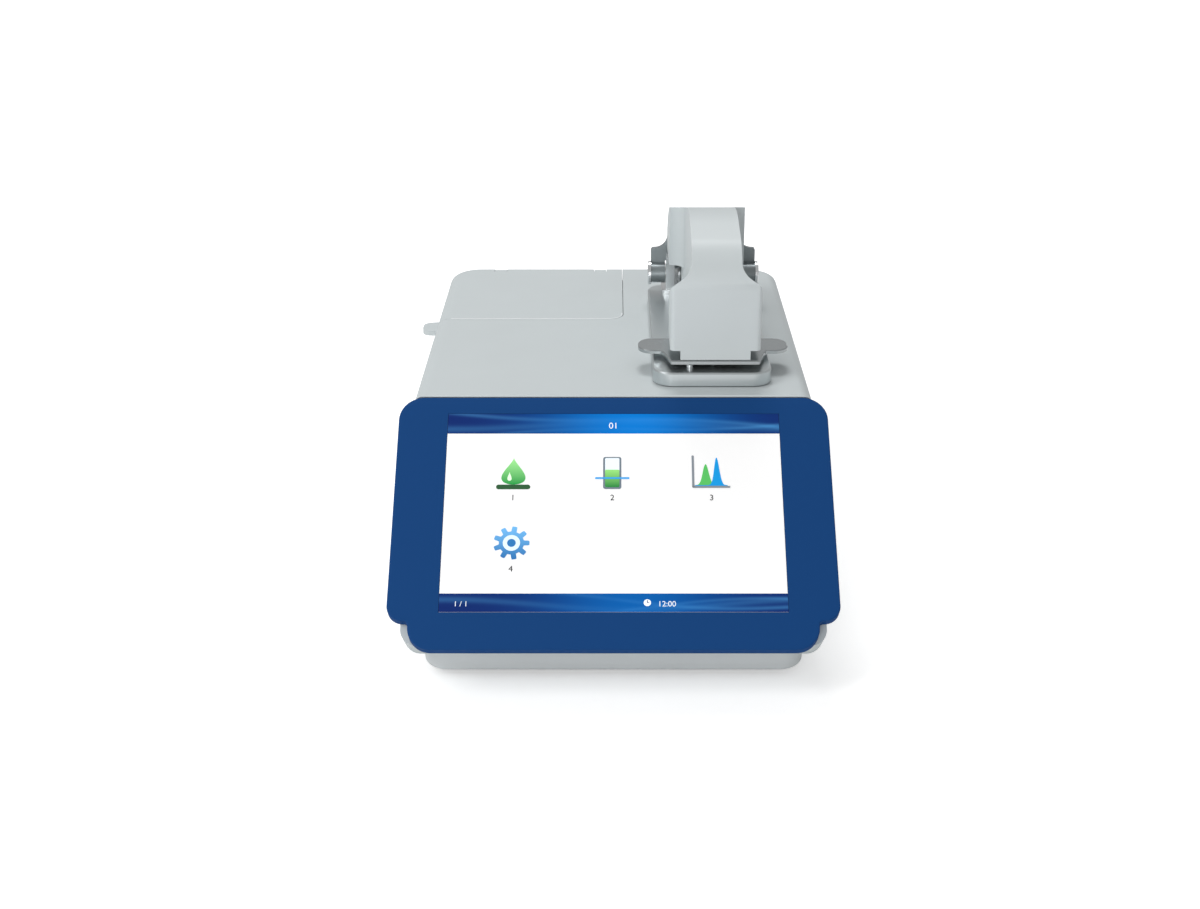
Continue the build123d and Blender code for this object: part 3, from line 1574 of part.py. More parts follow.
def lamp_housing():
    """Lamp can with cooling fins and a port on top."""
    low = lamp_low_z()
    body = plan_prism(
        rectangle(lamp_x - lamp_half, lamp_x + lamp_half, lamp_y - lamp_half, lamp_y + lamp_half, 3.0),
        low, low + lamp_height,
    )
    inner = lamp_half - lamp_wall - 3
    body = body - plan_prism(
        rectangle(lamp_x - inner, lamp_x + inner, lamp_y - inner, lamp_y + inner, 2.0),
        low + lamp_wall, low + lamp_height - lamp_wall,
    )
    for i in range(6):
        z = low + 6 + i * 5
        ring = plan_prism(
            rectangle(lamp_x - lamp_half - 1, lamp_x + lamp_half + 1, lamp_y - lamp_half - 1, lamp_y + lamp_half + 1),
            z, z + 2.2,
        )
        core = plan_prism(
            rectangle(lamp_x - lamp_half + 2.5, lamp_x + lamp_half - 2.5, lamp_y - lamp_half + 2.5, lamp_y + lamp_half - 2.5, 2.0),
            z - 1, z + 4,
        )
        body = body - (ring - core)
    return body - rod_z(lamp_x, lamp_y, low + lamp_height - 5, low + lamp_height + 1, ferrule_radius + seat_gap)


def flash_lamp():
    """Flash bulb on its base inside the lamp can."""
    low = lamp_low_z() + lamp_wall
    base = rod_z(lamp_x, lamp_y, low, low + 8, 9.0)
    bulb = rod_z(lamp_x, lamp_y, low + 7, low + 24, 5.0)
    return base + chamfer(bulb.edges().sort_by(Axis.Z)[-1], 2.5)


def lamp_fibre():
    """Fibre from the lamp up to the base of the arm hinge."""
    low = lamp_low_z() + lamp_height
    guide_x = arm_x
    route = [
        (lamp_x, lamp_y, low + 4),
        (lamp_x, lamp_y, low + 30),
        (lamp_x + 22, guide_y - 1, low + 42),
        (guide_x - 18, guide_y + 1, low + 42),
        (guide_x, guide_y, low + 58),
        (guide_x, guide_y, base_top_z - 2),
    ]
    jacket = fibre(route, fibre_radius)
    lower = rod_z(lamp_x, lamp_y, low - 1, low + 5, ferrule_radius)
    upper = rod_z(guide_x, guide_y, top_z - 4, base_top_z - 0.5, ferrule_radius)
    return jacket + lower + upper


def arm_fibre():
    """Fibre inside the arm, from the upper pedestal back to the hinge."""
    low = lift_top_z() + 20 + ferrule_length
    high = frame_beam_high_z + 8
    guide_x = arm_x
    route = [
        (arm_x, sample_y, low),
        (arm_x, sample_y, high),
        (arm_x, sample_y + 22, high + 6),
        (arm_x, guide_y - 34, high + 4),
        (arm_x + frame_beam_half + 1.6, guide_y - 18, high),
        (arm_x + frame_beam_half + 1.6, guide_y, cover_belly_z + 8),
    ]
    return fibre(route, fibre_radius)


# Cuvette bay
def deck_top_z():
    """Top face of the deck under the lid."""
    return lid_seam_z - deck_gap


def cuvette_deck():
    """Deck that floors the lid bay, with rims up to the housing's top wall."""
    left = -housing_width / 2 + housing_wall + slip_gap
    right = lid_right_x + seam + deck_overlap
    front = lid_front_y - seam - deck_overlap
    rear = lid_pivot_y - shoulder_radius - 2 * seam
    low, high = deck_top_z() - deck_sheet, deck_top_z()
    plan = [(left, front, 0.0), (right, front, 0.0), (right, rear, 0.0), (left, rear, deck_corner)]
    deck = plan_prism(plan, low, high)
    front_rim = block(left, right, front, front + deck_rim, low, chassis_top_z())
    right_rim = block(right - deck_rim, right, front, rear, low, chassis_top_z())
    deck = deck + (front_rim - block(left - 9, left + 6, -200, 200, high, 300)) + right_rim
    half = well_width / 2 + holder_collar - 1.5
    hole = rectangle(cuvette_x - half, cuvette_x + half, cuvette_y - half, cuvette_y + half, 2.0)
    deck = deck - plan_prism(drawn_in(hole, -slip_gap), low - 1, high + 1)
    for x, y in deck_screw_places():
        deck = deck - rod_z(x, y, low - 1, high + 1, m3_radius + slip_gap)
    return deck


def deck_screw_places():
    """Places of the screws between the deck and the holder's flange."""
    reach = holder_width / 2 + 3
    return [(cuvette_x + reach, cuvette_y), (cuvette_x - reach, cuvette_y)]


def cuvette_holder():
    """Holder with its square well, hung under the deck by a flange."""
    high = deck_top_z() + collar_height
    half = well_width / 2
    collar = half + holder_collar - 1.5
    under = deck_top_z() - deck_sheet
    body = plan_prism(
        rectangle(
            cuvette_x - holder_width / 2, cuvette_x + holder_width / 2,
            cuvette_y - holder_width / 2, cuvette_y + holder_width / 2, 2.5,
        ),
        under - holder_length, under,
    )
    flange = plan_prism(
        rectangle(
            cuvette_x - holder_width / 2 - 7, cuvette_x + holder_width / 2 + 7,
            cuvette_y - 7, cuvette_y + 7, 3.0,
        ),
        under - 3, under,
    )
    neck = plan_prism(
        rectangle(cuvette_x - collar, cuvette_x + collar, cuvette_y - collar, cuvette_y + collar, 2.0), under - 1, high
    )
    holder = body + flange + neck
    floor_z = high - well_depth
    well = block(cuvette_x - half, cuvette_x + half, cuvette_y - half, cuvette_y + half, floor_z, high + 1)
    holder = holder - well
    z = floor_z + beam_height
    holder = holder - rod_x(cuvette_x - 20, cuvette_x + 20, cuvette_y, z, beam_radius)
    for side in (-1, 1):
        x0, x1 = sorted((cuvette_x + side * (holder_width / 2 - diode_length), cuvette_x + side * 20))
        holder = holder - rod_x(x0, x1, cuvette_y, z, diode_radius + slip_gap)
    for x, y in deck_screw_places():
        holder = holder - rod_z(x, y, under - 4, under + 1, post_hole_radius)
    return holder


def deck_screws():
    """Screws through the deck into the holder's flange."""
    screws = []
    for x, y in deck_screw_places():
        screws.append(pan_screw(x, y, deck_top_z(), post_hole_radius - seat_gap, 5.0, m3_head_radius, m3_head))
    return group(screws)


def optic_board(side):
    """Small board on one side of the holder, with its round optic in the holder."""
    z = deck_top_z() + collar_height - well_depth + beam_height
    face = cuvette_x + side * holder_width / 2
    half = optic_board_width / 2
    x0, x1 = sorted((face, face + side * optic_board_sheet))
    board = block(x0, x1, cuvette_y - half, cuvette_y + half, z - 10, z - 10 + optic_board_height)
    d0, d1 = sorted((face + side * 0.5, face - side * (diode_length - 0.4)))
    c0, c1 = sorted((face + side * optic_board_sheet, face + side * (optic_board_sheet + 4)))
    connector = block(c0, c1, cuvette_y - 5, cuvette_y + 5, z + 4, z + 10)
    return board + rod_x(d0, d1, cuvette_y, z, diode_radius) + connector


def cuvette_led_board():
    """Light source board of the cuvette holder."""
    return optic_board(-1)


def cuvette_sensor_board():
    """Light sensor board of the cuvette holder."""
    return optic_board(1)


def lid_tab():
    """Rounded finger tab that sticks out from the lid's left side."""
    side = -housing_width / 2
    rear = tab_front_y + tab_length
    plan = [
        (side + lid_wall / 2, tab_front_y, 0.0),
        (side + lid_wall / 2, rear, 0.0),
        (side - tab_reach, rear - 2, 5.0),
        (side - tab_reach, tab_front_y + 1, 5.0),
    ]
    return plan_prism(plan, lid_seam_z, lid_seam_z + tab_thickness)


def seal_ring(inset, width, z0, z1):
    """Rectangular ring round the cuvette bay."""
    left = -housing_width / 2 + lid_wall + inset
    right = lid_right_x - lid_wall - inset
    front = lid_front_y + lid_wall + inset
    rear = lid_pivot_y - shoulder_radius - inset
    outer = plan_prism(rectangle(left, right, front, rear, 5.0), z0, z1)
    inner = plan_prism(rectangle(left + width, right - width, front + width, rear - width, 3.0), z0 - 1, z1 + 1)
    return outer - inner


def cuvette_lid():
    """Lid that wraps over the left shoulder and rolls round its rear hinge."""
    form = housing_form(0.0)
    cavity = housing_form(housing_wall)
    hollow = cavity & lid_space(0.0, lid_wall)
    hollow = hollow + (hollow & block(-200, 200, 0, lid_pivot_y, lid_seam_z, lid_seam_z + 2)).moved(Location((0, 0, -2)))
    lid = form & lid_space(0.0)
    for x in knuckle_centres():
        reach = knuckle_width / 2 + web_width
        hollow = hollow - block(
            x - reach, x + reach, lid_pivot_y - knuckle_radius, rear_y, lid_pivot_z - 7, top_z
        )
    lid = lid - hollow
    for x in knuckle_centres():
        half = knuckle_width / 2 + seam
        gap = rod_x(x - half, x + half, lid_pivot_y, lid_pivot_z, knuckle_radius + 4 * seam)
        lid = lid - gap
        reach = half + web_width + 1
        lid = lid - rod_x(x - reach, x + reach, lid_pivot_y, lid_pivot_z, lid_pin_radius + running_gap)
    rib = seal_ring(seal_inset + (seal_width - rib_wall) / 2, rib_wall, deck_top_z() + seal_height + seam, top_z - 1)
    return lid + lid_tab() + rib


def lid_seal():
    """Soft ring on the deck that the lid's rib closes on, against stray light."""
    return seal_ring(seal_inset, seal_width, deck_top_z(), deck_top_z() + seal_height)


def lid_hinge_pins():
    """Two short pins, each through a fixed knuckle and the lid's webs."""
    half = knuckle_width / 2 + web_width - 1
    return group([rod_x(x - half, x + half, lid_pivot_y, lid_pivot_z, lid_pin_radius) for x in knuckle_centres()])


NODES = {
    "bottom_tray": bottom_tray,
    "rubber_feet": rubber_feet,
    "upper_housing": upper_housing,
    "housing_screws": housing_screws,
    "front_fascia": front_fascia,
    "touch_panel": touch_panel,
    "display_module": display_module,
    "display_bracket": display_bracket,
    "fascia_screws": fascia_screws,
    "rear_panel": rear_panel,
    "rear_panel_screws": rear_panel_screws,
    "dc_jack": dc_jack,
    "usb_sockets": usb_sockets,
    "switch_body": switch_body,
    "switch_rocker": switch_rocker,
    "mainboard": mainboard,
    "board_standoffs": board_standoffs,
    "board_components": board_components,
    "chassis": chassis,
    "chassis_screws": chassis_screws,
    "spectrometer_case": spectrometer_case,
    "spectrometer_lid": spectrometer_lid,
    "diffraction_grating": diffraction_grating,
    "spectrometer_mirrors": spectrometer_mirrors,
    "sensor_board": sensor_board,
    "spectrometer_fibre": spectrometer_fibre,
    "lamp_housing": lamp_housing,
    "flash_lamp": flash_lamp,
    "lamp_fibre": lamp_fibre,
    "arm_base_plate": arm_base_plate,
    "base_gasket": base_gasket,
    "base_plate_screws": base_plate_screws,
    "lower_pedestal": lower_pedestal,
    "hinge_bracket": hinge_bracket,
    "hinge_bracket_screws": hinge_bracket_screws,
    "hinge_bushes": hinge_bushes,
    "hinge_pin": hinge_pin,
    "hinge_end_caps": hinge_end_caps,
    "arm_frame": arm_frame,
    "arm_cover": lambda: arm_cover() + cover_posts(),
    "arm_underside": arm_underside,
    "arm_screws": arm_screws,
    "lift_plate": lift_plate,
    "lift_plate_screws": lift_plate_screws,
    "upper_pedestal": upper_pedestal,
    "arm_fibre": arm_fibre,
    "path_plunger": path_plunger,
    "lead_screw": lead_screw,
    "stepper_motor": stepper_motor,
    "motor_bracket": motor_bracket,
    "cuvette_deck": cuvette_deck,
    "deck_screws": deck_screws,
    "cuvette_holder": cuvette_holder,
    "cuvette_led_board": cuvette_led_board,
    "cuvette_sensor_board": cuvette_sensor_board,
    "cuvette_lid": cuvette_lid,
    "lid_seal": lid_seal,
    "lid_hinge_pins": lid_hinge_pins,
}

os.makedirs("parts", exist_ok=True)
for name, make in NODES.items():
    export_step(make(), f"parts/{name}.step")
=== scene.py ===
import logging
import math
from dataclasses import dataclass
from enum import Enum

import bpy
import numpy as np
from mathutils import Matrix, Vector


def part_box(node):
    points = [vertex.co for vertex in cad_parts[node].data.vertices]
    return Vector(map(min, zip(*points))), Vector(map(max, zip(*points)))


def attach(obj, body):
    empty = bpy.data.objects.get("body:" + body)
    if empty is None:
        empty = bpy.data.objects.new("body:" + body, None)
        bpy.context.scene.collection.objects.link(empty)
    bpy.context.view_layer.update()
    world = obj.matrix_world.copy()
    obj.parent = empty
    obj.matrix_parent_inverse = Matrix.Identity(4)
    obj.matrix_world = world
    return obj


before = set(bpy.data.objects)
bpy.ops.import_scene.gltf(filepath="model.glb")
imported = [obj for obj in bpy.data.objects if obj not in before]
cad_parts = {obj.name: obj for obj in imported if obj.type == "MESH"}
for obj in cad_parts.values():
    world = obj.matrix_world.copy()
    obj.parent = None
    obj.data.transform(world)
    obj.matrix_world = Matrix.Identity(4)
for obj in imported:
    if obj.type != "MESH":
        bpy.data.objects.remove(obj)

# The instrument's finishes, the image on its screen, the pale bead on its lid, which paints a highlight
# along the lid's front edge, and the studio, in metres, in the frame of its solids: X to the right, Y to the
# rear, Z up.

LOG = logging.getLogger("instrument")
MM = 0.001
SLANT = math.radians(50.1)
GLASS_THICKNESS = 1.8 * MM
SMOOTH_ANGLE = math.radians(28.0)
WELD_REACH = 0.01 * MM
PRINT_COLOUR = "tint"
IMAGE_WIDTH = 1200.0
IMAGE_HEIGHT = 909.0

# What every broken-up finish shares: a broad mottle, counted in cells to the metre, and a fine
# grain, which is drawn out along X where the finish is brushed.
MOTTLE_CELLS = 22.0
MOTTLE_DETAIL = 3.0
GRAIN_DETAIL = 2.0
CAST_DETAIL = 4.0
BRUSH_STRETCH = (0.06, 1.0, 1.0)
RELIEF_HEIGHT = 0.3 * MM
GLOSSIEST = 0.02
DULLEST = 1.0

Colour = tuple[float, float, float]
Paint = Colour | np.ndarray


class Grain(Enum):
    """How a finish is broken up at close range. A lit one stays even and glows."""

    MOULDED = "moulded"
    BRUSHED = "brushed"
    CAST = "cast"
    LIT = "lit"


@dataclass(frozen=True)
class Finish:
    """One material: its colour, its gloss and its grain."""

    name: str
    colour: Colour
    roughness: float = 0.5
    metallic: float = 0.0
    grain: Grain = Grain.MOULDED
    grain_size: float = 0.9 * MM
    grain_depth: float = 0.08
    mottle: float = 0.03
    gloss_change: float = 0.03
    shine: float = 0.4
    glow: float = 0.0
    printed: bool = False

    def material(self) -> bpy.types.Material:
        """Makes the material once and gives the same one after that.

        Returns:
            The Blender material with its node tree.
        """
        found = bpy.data.materials.get(self.name)
        if found:
            return found
        made = bpy.data.materials.new(self.name)
        made.use_nodes = True
        tree = made.node_tree
        shader = tree.nodes["Principled BSDF"]
        shader.inputs["Base Color"].default_value = (*self.colour, 1.0)
        shader.inputs["Roughness"].default_value = self.roughness
        shader.inputs["Metallic"].default_value = self.metallic
        shader.inputs["Specular IOR Level"].default_value = self.shine
        shader.inputs["Emission Strength"].default_value = self.glow
        if self.printed:
            self._read_print(tree, shader)
        elif self.grain is Grain.LIT:
            shader.inputs["Emission Color"].default_value = (*self.colour, 1.0)
        else:
            place = tree.nodes.new("ShaderNodeTexCoord")
            self._mottle_colour(tree, shader, place)
            self._grain_surface(tree, shader, place)
        return made

    def _read_print(self, tree: bpy.types.NodeTree, shader: bpy.types.Node) -> None:
        """Takes the colour, and that of the glow, from the piece's own printed colours.

        Args:
            tree: The material's node tree.
            shader: Its surface shader.
        """
        source = tree.nodes.new("ShaderNodeAttribute")
        source.attribute_name = PRINT_COLOUR
        tree.links.new(source.outputs["Color"], shader.inputs["Base Color"])
        tree.links.new(source.outputs["Color"], shader.inputs["Emission Color"])

    def _mottle_colour(self, tree: bpy.types.NodeTree, shader: bpy.types.Node, place: bpy.types.Node) -> None:
        """Lets the colour wander: the colour times a broad noise about one.

        Args:
            tree: The material's node tree.
            shader: Its surface shader.
            place: The node that gives each point's place.
        """
        broad = tree.nodes.new("ShaderNodeTexNoise")
        broad.inputs["Scale"].default_value = MOTTLE_CELLS
        broad.inputs["Detail"].default_value = MOTTLE_DETAIL
        shade = tree.nodes.new("ShaderNodeMapRange")
        shade.inputs["To Min"].default_value = 1.0 - self.mottle
        shade.inputs["To Max"].default_value = 1.0 + self.mottle
        shaded = tree.nodes.new("ShaderNodeVectorMath")
        shaded.operation = "SCALE"
        shaded.inputs[0].default_value = self.colour
        tree.links.new(place.outputs["Object"], broad.inputs["Vector"])
        tree.links.new(broad.outputs["Fac"], shade.inputs["Value"])
        tree.links.new(shade.outputs["Result"], shaded.inputs["Scale"])
        tree.links.new(shaded.outputs["Vector"], shader.inputs["Base Color"])

    def _grain_surface(self, tree: bpy.types.NodeTree, shader: bpy.types.Node, place: bpy.types.Node) -> None:
        """Lets the roughness and the relief follow one fine noise.

        Args:
            tree: The material's node tree.
            shader: Its surface shader.
            place: The node that gives each point's place.
        """
        stretch = tree.nodes.new("ShaderNodeMapping")
        if self.grain is Grain.BRUSHED:
            stretch.inputs["Scale"].default_value = BRUSH_STRETCH
        fine = tree.nodes.new("ShaderNodeTexNoise")
        fine.inputs["Scale"].default_value = 1.0 / self.grain_size
        fine.inputs["Detail"].default_value = CAST_DETAIL if self.grain is Grain.CAST else GRAIN_DETAIL
        gloss = tree.nodes.new("ShaderNodeMapRange")
        gloss.inputs["To Min"].default_value = max(self.roughness - self.gloss_change, GLOSSIEST)
        gloss.inputs["To Max"].default_value = min(self.roughness + self.gloss_change, DULLEST)
        relief = tree.nodes.new("ShaderNodeBump")
        relief.inputs["Strength"].default_value = self.grain_depth
        relief.inputs["Distance"].default_value = RELIEF_HEIGHT
        tree.links.new(place.outputs["Object"], stretch.inputs["Vector"])
        tree.links.new(stretch.outputs["Vector"], fine.inputs["Vector"])
        tree.links.new(fine.outputs["Fac"], gloss.inputs["Value"])
        tree.links.new(gloss.outputs["Result"], shader.inputs["Roughness"])
        tree.links.new(fine.outputs["Fac"], relief.inputs["Height"])
        tree.links.new(relief.outputs["Normal"], shader.inputs["Normal"])


HOUSING_GREY = Finish("housing_grey", (0.560, 0.605, 0.615), roughness=0.52, shine=0.35)
ARM_GREY = Finish("arm_grey", (0.575, 0.620, 0.630), roughness=0.45, shine=0.35)
# Paler than the housing grey: a painted highlight along the lid's front edge, carried by the bead.
BEAD_HIGHLIGHT_GREY = Finish("bead_painted_highlight", (0.78, 0.81, 0.82), roughness=0.4)
TRAY_GREY = Finish("tray_grey", (0.60, 0.63, 0.64))
FASCIA_BLUE = Finish("fascia_blue", (0.0085, 0.056, 0.195), roughness=0.55, grain_depth=0.02,
                     mottle=0.015, shine=0.05)
SCREEN_WHITE = Finish("screen_white", (0.86, 0.86, 0.86), roughness=0.3, grain=Grain.LIT,
                      shine=0.1, glow=0.22)
SCREEN_PRINT = Finish("screen_print", (0.5, 0.5, 0.5), roughness=0.4, grain=Grain.LIT,
                      shine=0.1, glow=0.22, printed=True)
BASE_METAL = Finish("base_metal", (0.60, 0.64, 0.65), roughness=0.3, metallic=0.95,
                    grain=Grain.BRUSHED, grain_size=0.4 * MM, grain_depth=0.03)
PLATE_STEEL = Finish("plate_steel", (0.44, 0.47, 0.48), roughness=0.26, metallic=0.95,
                     grain=Grain.BRUSHED, grain_size=0.4 * MM, grain_depth=0.02)
HINGE_STEEL = Finish("hinge_steel", (0.78, 0.80, 0.81), roughness=0.2, metallic=0.95,
                     grain=Grain.BRUSHED, grain_size=0.4 * MM, grain_depth=0.02)
SCREW_STEEL = Finish("screw_steel", (0.42, 0.43, 0.45), roughness=0.3, metallic=0.95,
                     grain=Grain.BRUSHED, grain_size=0.4 * MM, grain_depth=0.08)
SHEET_METAL = Finish("sheet_metal", (0.50, 0.51, 0.52), roughness=0.4, metallic=0.9,
                     grain=Grain.BRUSHED, grain_depth=0.1)
POLISHED = Finish("polished_tip", (0.78, 0.79, 0.80), roughness=0.12, metallic=1.0,
                  grain=Grain.BRUSHED, grain_size=0.3 * MM, grain_depth=0.03)
MIRROR = Finish("optic_mirror", (0.85, 0.87, 0.90), roughness=0.05, metallic=1.0,
                grain=Grain.BRUSHED, grain_size=0.2 * MM, grain_depth=0.02)
FRAME_METAL = Finish("frame_metal", (0.27, 0.30, 0.31), roughness=0.4, metallic=0.75,
                     grain=Grain.CAST, grain_size=1.1 * MM, grain_depth=0.15)
BRONZE = Finish("bush_bronze", (0.42, 0.27, 0.12), roughness=0.35, metallic=0.9,
                grain=Grain.CAST, grain_size=0.6 * MM, grain_depth=0.1)
FOAM = Finish("seal_foam", (0.022, 0.022, 0.024), roughness=0.95,
              grain=Grain.CAST, grain_size=0.8 * MM, grain_depth=0.6)
RUBBER = Finish("foot_rubber", (0.018, 0.018, 0.019), roughness=0.8, grain_size=0.6 * MM, grain_depth=0.2)
BLACK_PLASTIC = Finish("black_plastic", (0.017, 0.018, 0.020), roughness=0.42, grain_size=0.5 * MM)
DECK_BLACK = Finish("deck_black", (0.024, 0.025, 0.028), roughness=0.6, grain_size=0.8 * MM, grain_depth=0.2)
BOARD_GREEN = Finish("board_green", (0.012, 0.10, 0.045), roughness=0.35, grain_size=1.8 * MM, mottle=0.25)


def dress(finish: Finish, *nodes: str) -> None:
    """Gives solids a finish and smooths their curved faces.

    Args:
        finish: The finish that they take.
        nodes: Names of the solids.
    """
    for name in nodes:
        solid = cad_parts[name]
        solid.data.materials.clear()
        solid.data.materials.append(finish.material())
        smooth = np.ones(len(solid.data.polygons), dtype=bool)
        solid.data.polygons.foreach_set("use_smooth", smooth)
        weld = solid.modifiers.new("weld", "WELD")
        weld.merge_threshold = WELD_REACH
        split = solid.modifiers.new("split", "EDGE_SPLIT")
        split.split_angle = SMOOTH_ANGLE
        LOG.info("dressed %s in %s", name, finish.name)


def finished(name: str, mesh: bpy.types.Mesh, finish: Finish, body: str) -> bpy.types.Object:
    """Puts a finished mesh in the scene, on its body.

    Args:
        name: The piece's name.
        mesh: Its mesh, in place.
        finish: Its finish.
        body: The body that it rides on.

    Returns:
        The new piece.
    """
    mesh.materials.append(finish.material())
    piece = bpy.data.objects.new(name, mesh)
    bpy.context.scene.collection.objects.link(piece)
    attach(piece, body)
    LOG.info("made %s", name)
    return piece


def grid_mesh(name: str, points: np.ndarray, smooth: bool = True) -> bpy.types.Mesh:
    """Mesh of a two-parameter surface, one quad for each cell of the grid.

    Args:
        name: The mesh's name.
        points: Array of shape (rows, columns, 3).
        smooth: True for smooth shading.

    Returns:
        The mesh.
    """
    rows, columns = points.shape[:2]
    index = np.arange(rows * columns).reshape(rows, columns)
    quads = np.stack([index[:-1, :-1], index[:-1, 1:], index[1:, 1:], index[1:, :-1]], axis=-1)
    mesh = bpy.data.meshes.new(name)
    mesh.from_pydata(points.reshape(-1, 3), [], quads.reshape(-1, 4).tolist())
    mesh.polygons.foreach_set("use_smooth", np.full(len(mesh.polygons), smooth))
    mesh.update()
    return mesh


def flat_mesh(name: str, outline: np.ndarray) -> bpy.types.Mesh:
    """Mesh of one flat face inside a closed outline.

    Args:
        name: The mesh's name.
        outline: Array of shape (count, 3), counted round the outward normal.

    Returns:
        The mesh.
    """
    mesh = bpy.data.meshes.new(name)
    mesh.from_pydata(outline, [], [list(range(len(outline)))])
    mesh.update()
    return mesh


def tint(mesh: bpy.types.Mesh, colours: np.ndarray) -> None:
    """Writes a colour at each vertex into the attribute that printed finishes read.

    Args:
        mesh: The mesh.
        colours: Array of shape (vertices, 3).
    """
    layer = mesh.color_attributes.new(PRINT_COLOUR, "FLOAT_COLOR", "POINT")
    full = np.ones((len(colours), 4))
    full[:, :3] = colours
    layer.data.foreach_set("color", full.ravel())


def rounded_rectangle(width: float, height: float, radius: float, steps: int = 6) -> np.ndarray:
    """Outline of a rectangle with round corners, about its middle.

    Each corner is a quarter circle of the radius about a point set in from both sides.

    Args:
        width: Full width.
        height: Full height.
        radius: Corner radius.
        steps: Points in each corner.

    Returns:
        Array of shape (4 * steps, 2).
    """
    quarter = np.linspace(0.0, math.pi / 2, steps)
    angles = quarter[None, :] + np.arange(4)[:, None] * math.pi / 2
    middle = np.array([[1, 1], [-1, 1], [-1, -1], [1, -1]]) * [width / 2 - radius, height / 2 - radius]
    corners = middle[:, None, :] + radius * np.stack([np.cos(angles), np.sin(angles)], axis=-1)
    return corners.reshape(-1, 2)


def full_turn(count: int) -> np.ndarray:
    """Evenly spaced angles once round, without the last, which is the first again."""
    return np.linspace(0.0, 2 * math.pi, count, endpoint=False)


def circle(radius: float, count: int) -> np.ndarray:
    """Outline of a circle about its middle: the cosine and the sine times the radius.

    Args:
        radius: Its radius.
        count: Points round it.

    Returns:
        Array of shape (count, 2).
    """
    turn = full_turn(count)
    return radius * np.stack([np.cos(turn), np.sin(turn)], axis=-1)


def swapped(outline: np.ndarray) -> np.ndarray:
    """The outline with its two axes swapped, still counted the same way round."""
    return outline[:, ::-1][::-1]


@dataclass(frozen=True)
class SlantFace:
    """The plane of the slanted screen, with X across it and up along the slant."""

    left: float
    right: float
    low_y: float
    low_z: float
    height: float

    @classmethod
    def of_glass(cls) -> "SlantFace":
        """Finds the plane from the solid of the screen's glass.

        Returns:
            The plane of its outer face.
        """
        low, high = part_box("touch_panel")
        face_low_z = low.z + GLASS_THICKNESS * math.sin(SLANT)
        return cls(low.x, high.x, low.y, face_low_z, (high.z - face_low_z) / math.cos(SLANT))

    @property
    def width(self) -> float:
        """Width of the glass."""
        return self.right - self.left

    def place(self, across: np.ndarray, up: np.ndarray, lift: float) -> np.ndarray:
        """Points on the plane, given across from the middle and up from its low edge.

        A point is the low edge's middle, plus across along X, plus up along the slant,
        plus lift along the outward normal.

        Args:
            across: Distances across, from the middle.
            up: Distances up the slant, from the low edge.
            lift: Height above the glass.

        Returns:
            Array with a last axis of three.
        """
        middle = (self.left + self.right) / 2
        x = middle + np.asarray(across)
        y = self.low_y + np.asarray(up) * math.sin(SLANT) - lift * math.cos(SLANT)
        z = self.low_z + np.asarray(up) * math.cos(SLANT) + lift * math.sin(SLANT)
        return np.stack([x, y, z], axis=-1)


@dataclass(frozen=True)
class Fade:
    """Two colours that a printed shape runs between, from its foot to its top."""

    foot: Colour
    top: Colour

    def over(self, outline: np.ndarray, reach: float) -> np.ndarray:
        """Colour at each point of an outline.

        The share of the top's colour rises evenly with height, from none at reach below the
        middle to all of it at reach above.

        Args:
            outline: Array of shape (count, 2) about the shape's middle.
            reach: Distance from the middle to where each colour is full.

        Returns:
            Array of shape (count, 3).
        """
        share = ((outline[:, 1:2] + reach) / (2 * reach)).clip(0, 1)
        return np.array(self.foot) * (1 - share) + np.array(self.top) * share


@dataclass(frozen=True)
class Print:
    """One flat printed shape of a picture, in shares of the picture's size."""

    name: str
    outline: np.ndarray
    paint: Paint
    level: int
    across: float = 0.0
    up: float = 0.0


@dataclass(frozen=True)
class DropPicture:
    """A green drop over a dark dish, in shares of the picture's size."""

    half_width: float = 0.5704
    half_height: float = 0.46
    drop_up: float = 0.06
    light_half_width: float = 0.0992
    light_half_height: float = 0.15
    light_shift: float = 0.12
    dish_width: float = 1.05
    dish_height: float = 0.16
    dish_down: float = 0.48
    points: int = 60
    drop_fade: Fade = Fade((0.02, 0.30, 0.06), (0.35, 0.80, 0.30))
    light_colour: Colour = (0.75, 0.95, 0.70)
    dish_colour: Colour = (0.03, 0.10, 0.04)

    def prints(self) -> list[Print]:
        """Works out the picture's shapes.

        Returns:
            The drop, the light on it and the dish.
        """
        drop = self._drop(self.half_width, self.half_height)
        light = self._drop(self.light_half_width, self.light_half_height)
        dish = rounded_rectangle(self.dish_width, self.dish_height, self.dish_height / 2)
        drop_colours = self.drop_fade.over(drop, self.half_height)
        return [
            Print("drop_body", drop, drop_colours, level=3, up=self.drop_up),
            Print("drop_light", light, self.light_colour, level=4,
                  across=-self.light_shift, up=-self.light_shift),
            Print("drop_dish", dish, self.dish_colour, level=2, up=-self.dish_down),
        ]

    def _drop(self, half_width: float, half_height: float) -> np.ndarray:
        """Outline of a drop with its point at the top.

        Once round, its height is the half height times the cosine, and its place across is
        the half width times the sine times the squared sine of half the angle.

        Args:
            half_width: Scale of its width.
            half_height: Half its height.

        Returns:
            Array of shape (points, 2).
        """
        turn = full_turn(self.points)
        across = -half_width * np.sin(turn) * np.sin(turn / 2) ** 2
        return np.stack([across, half_height * np.cos(turn)], axis=-1)


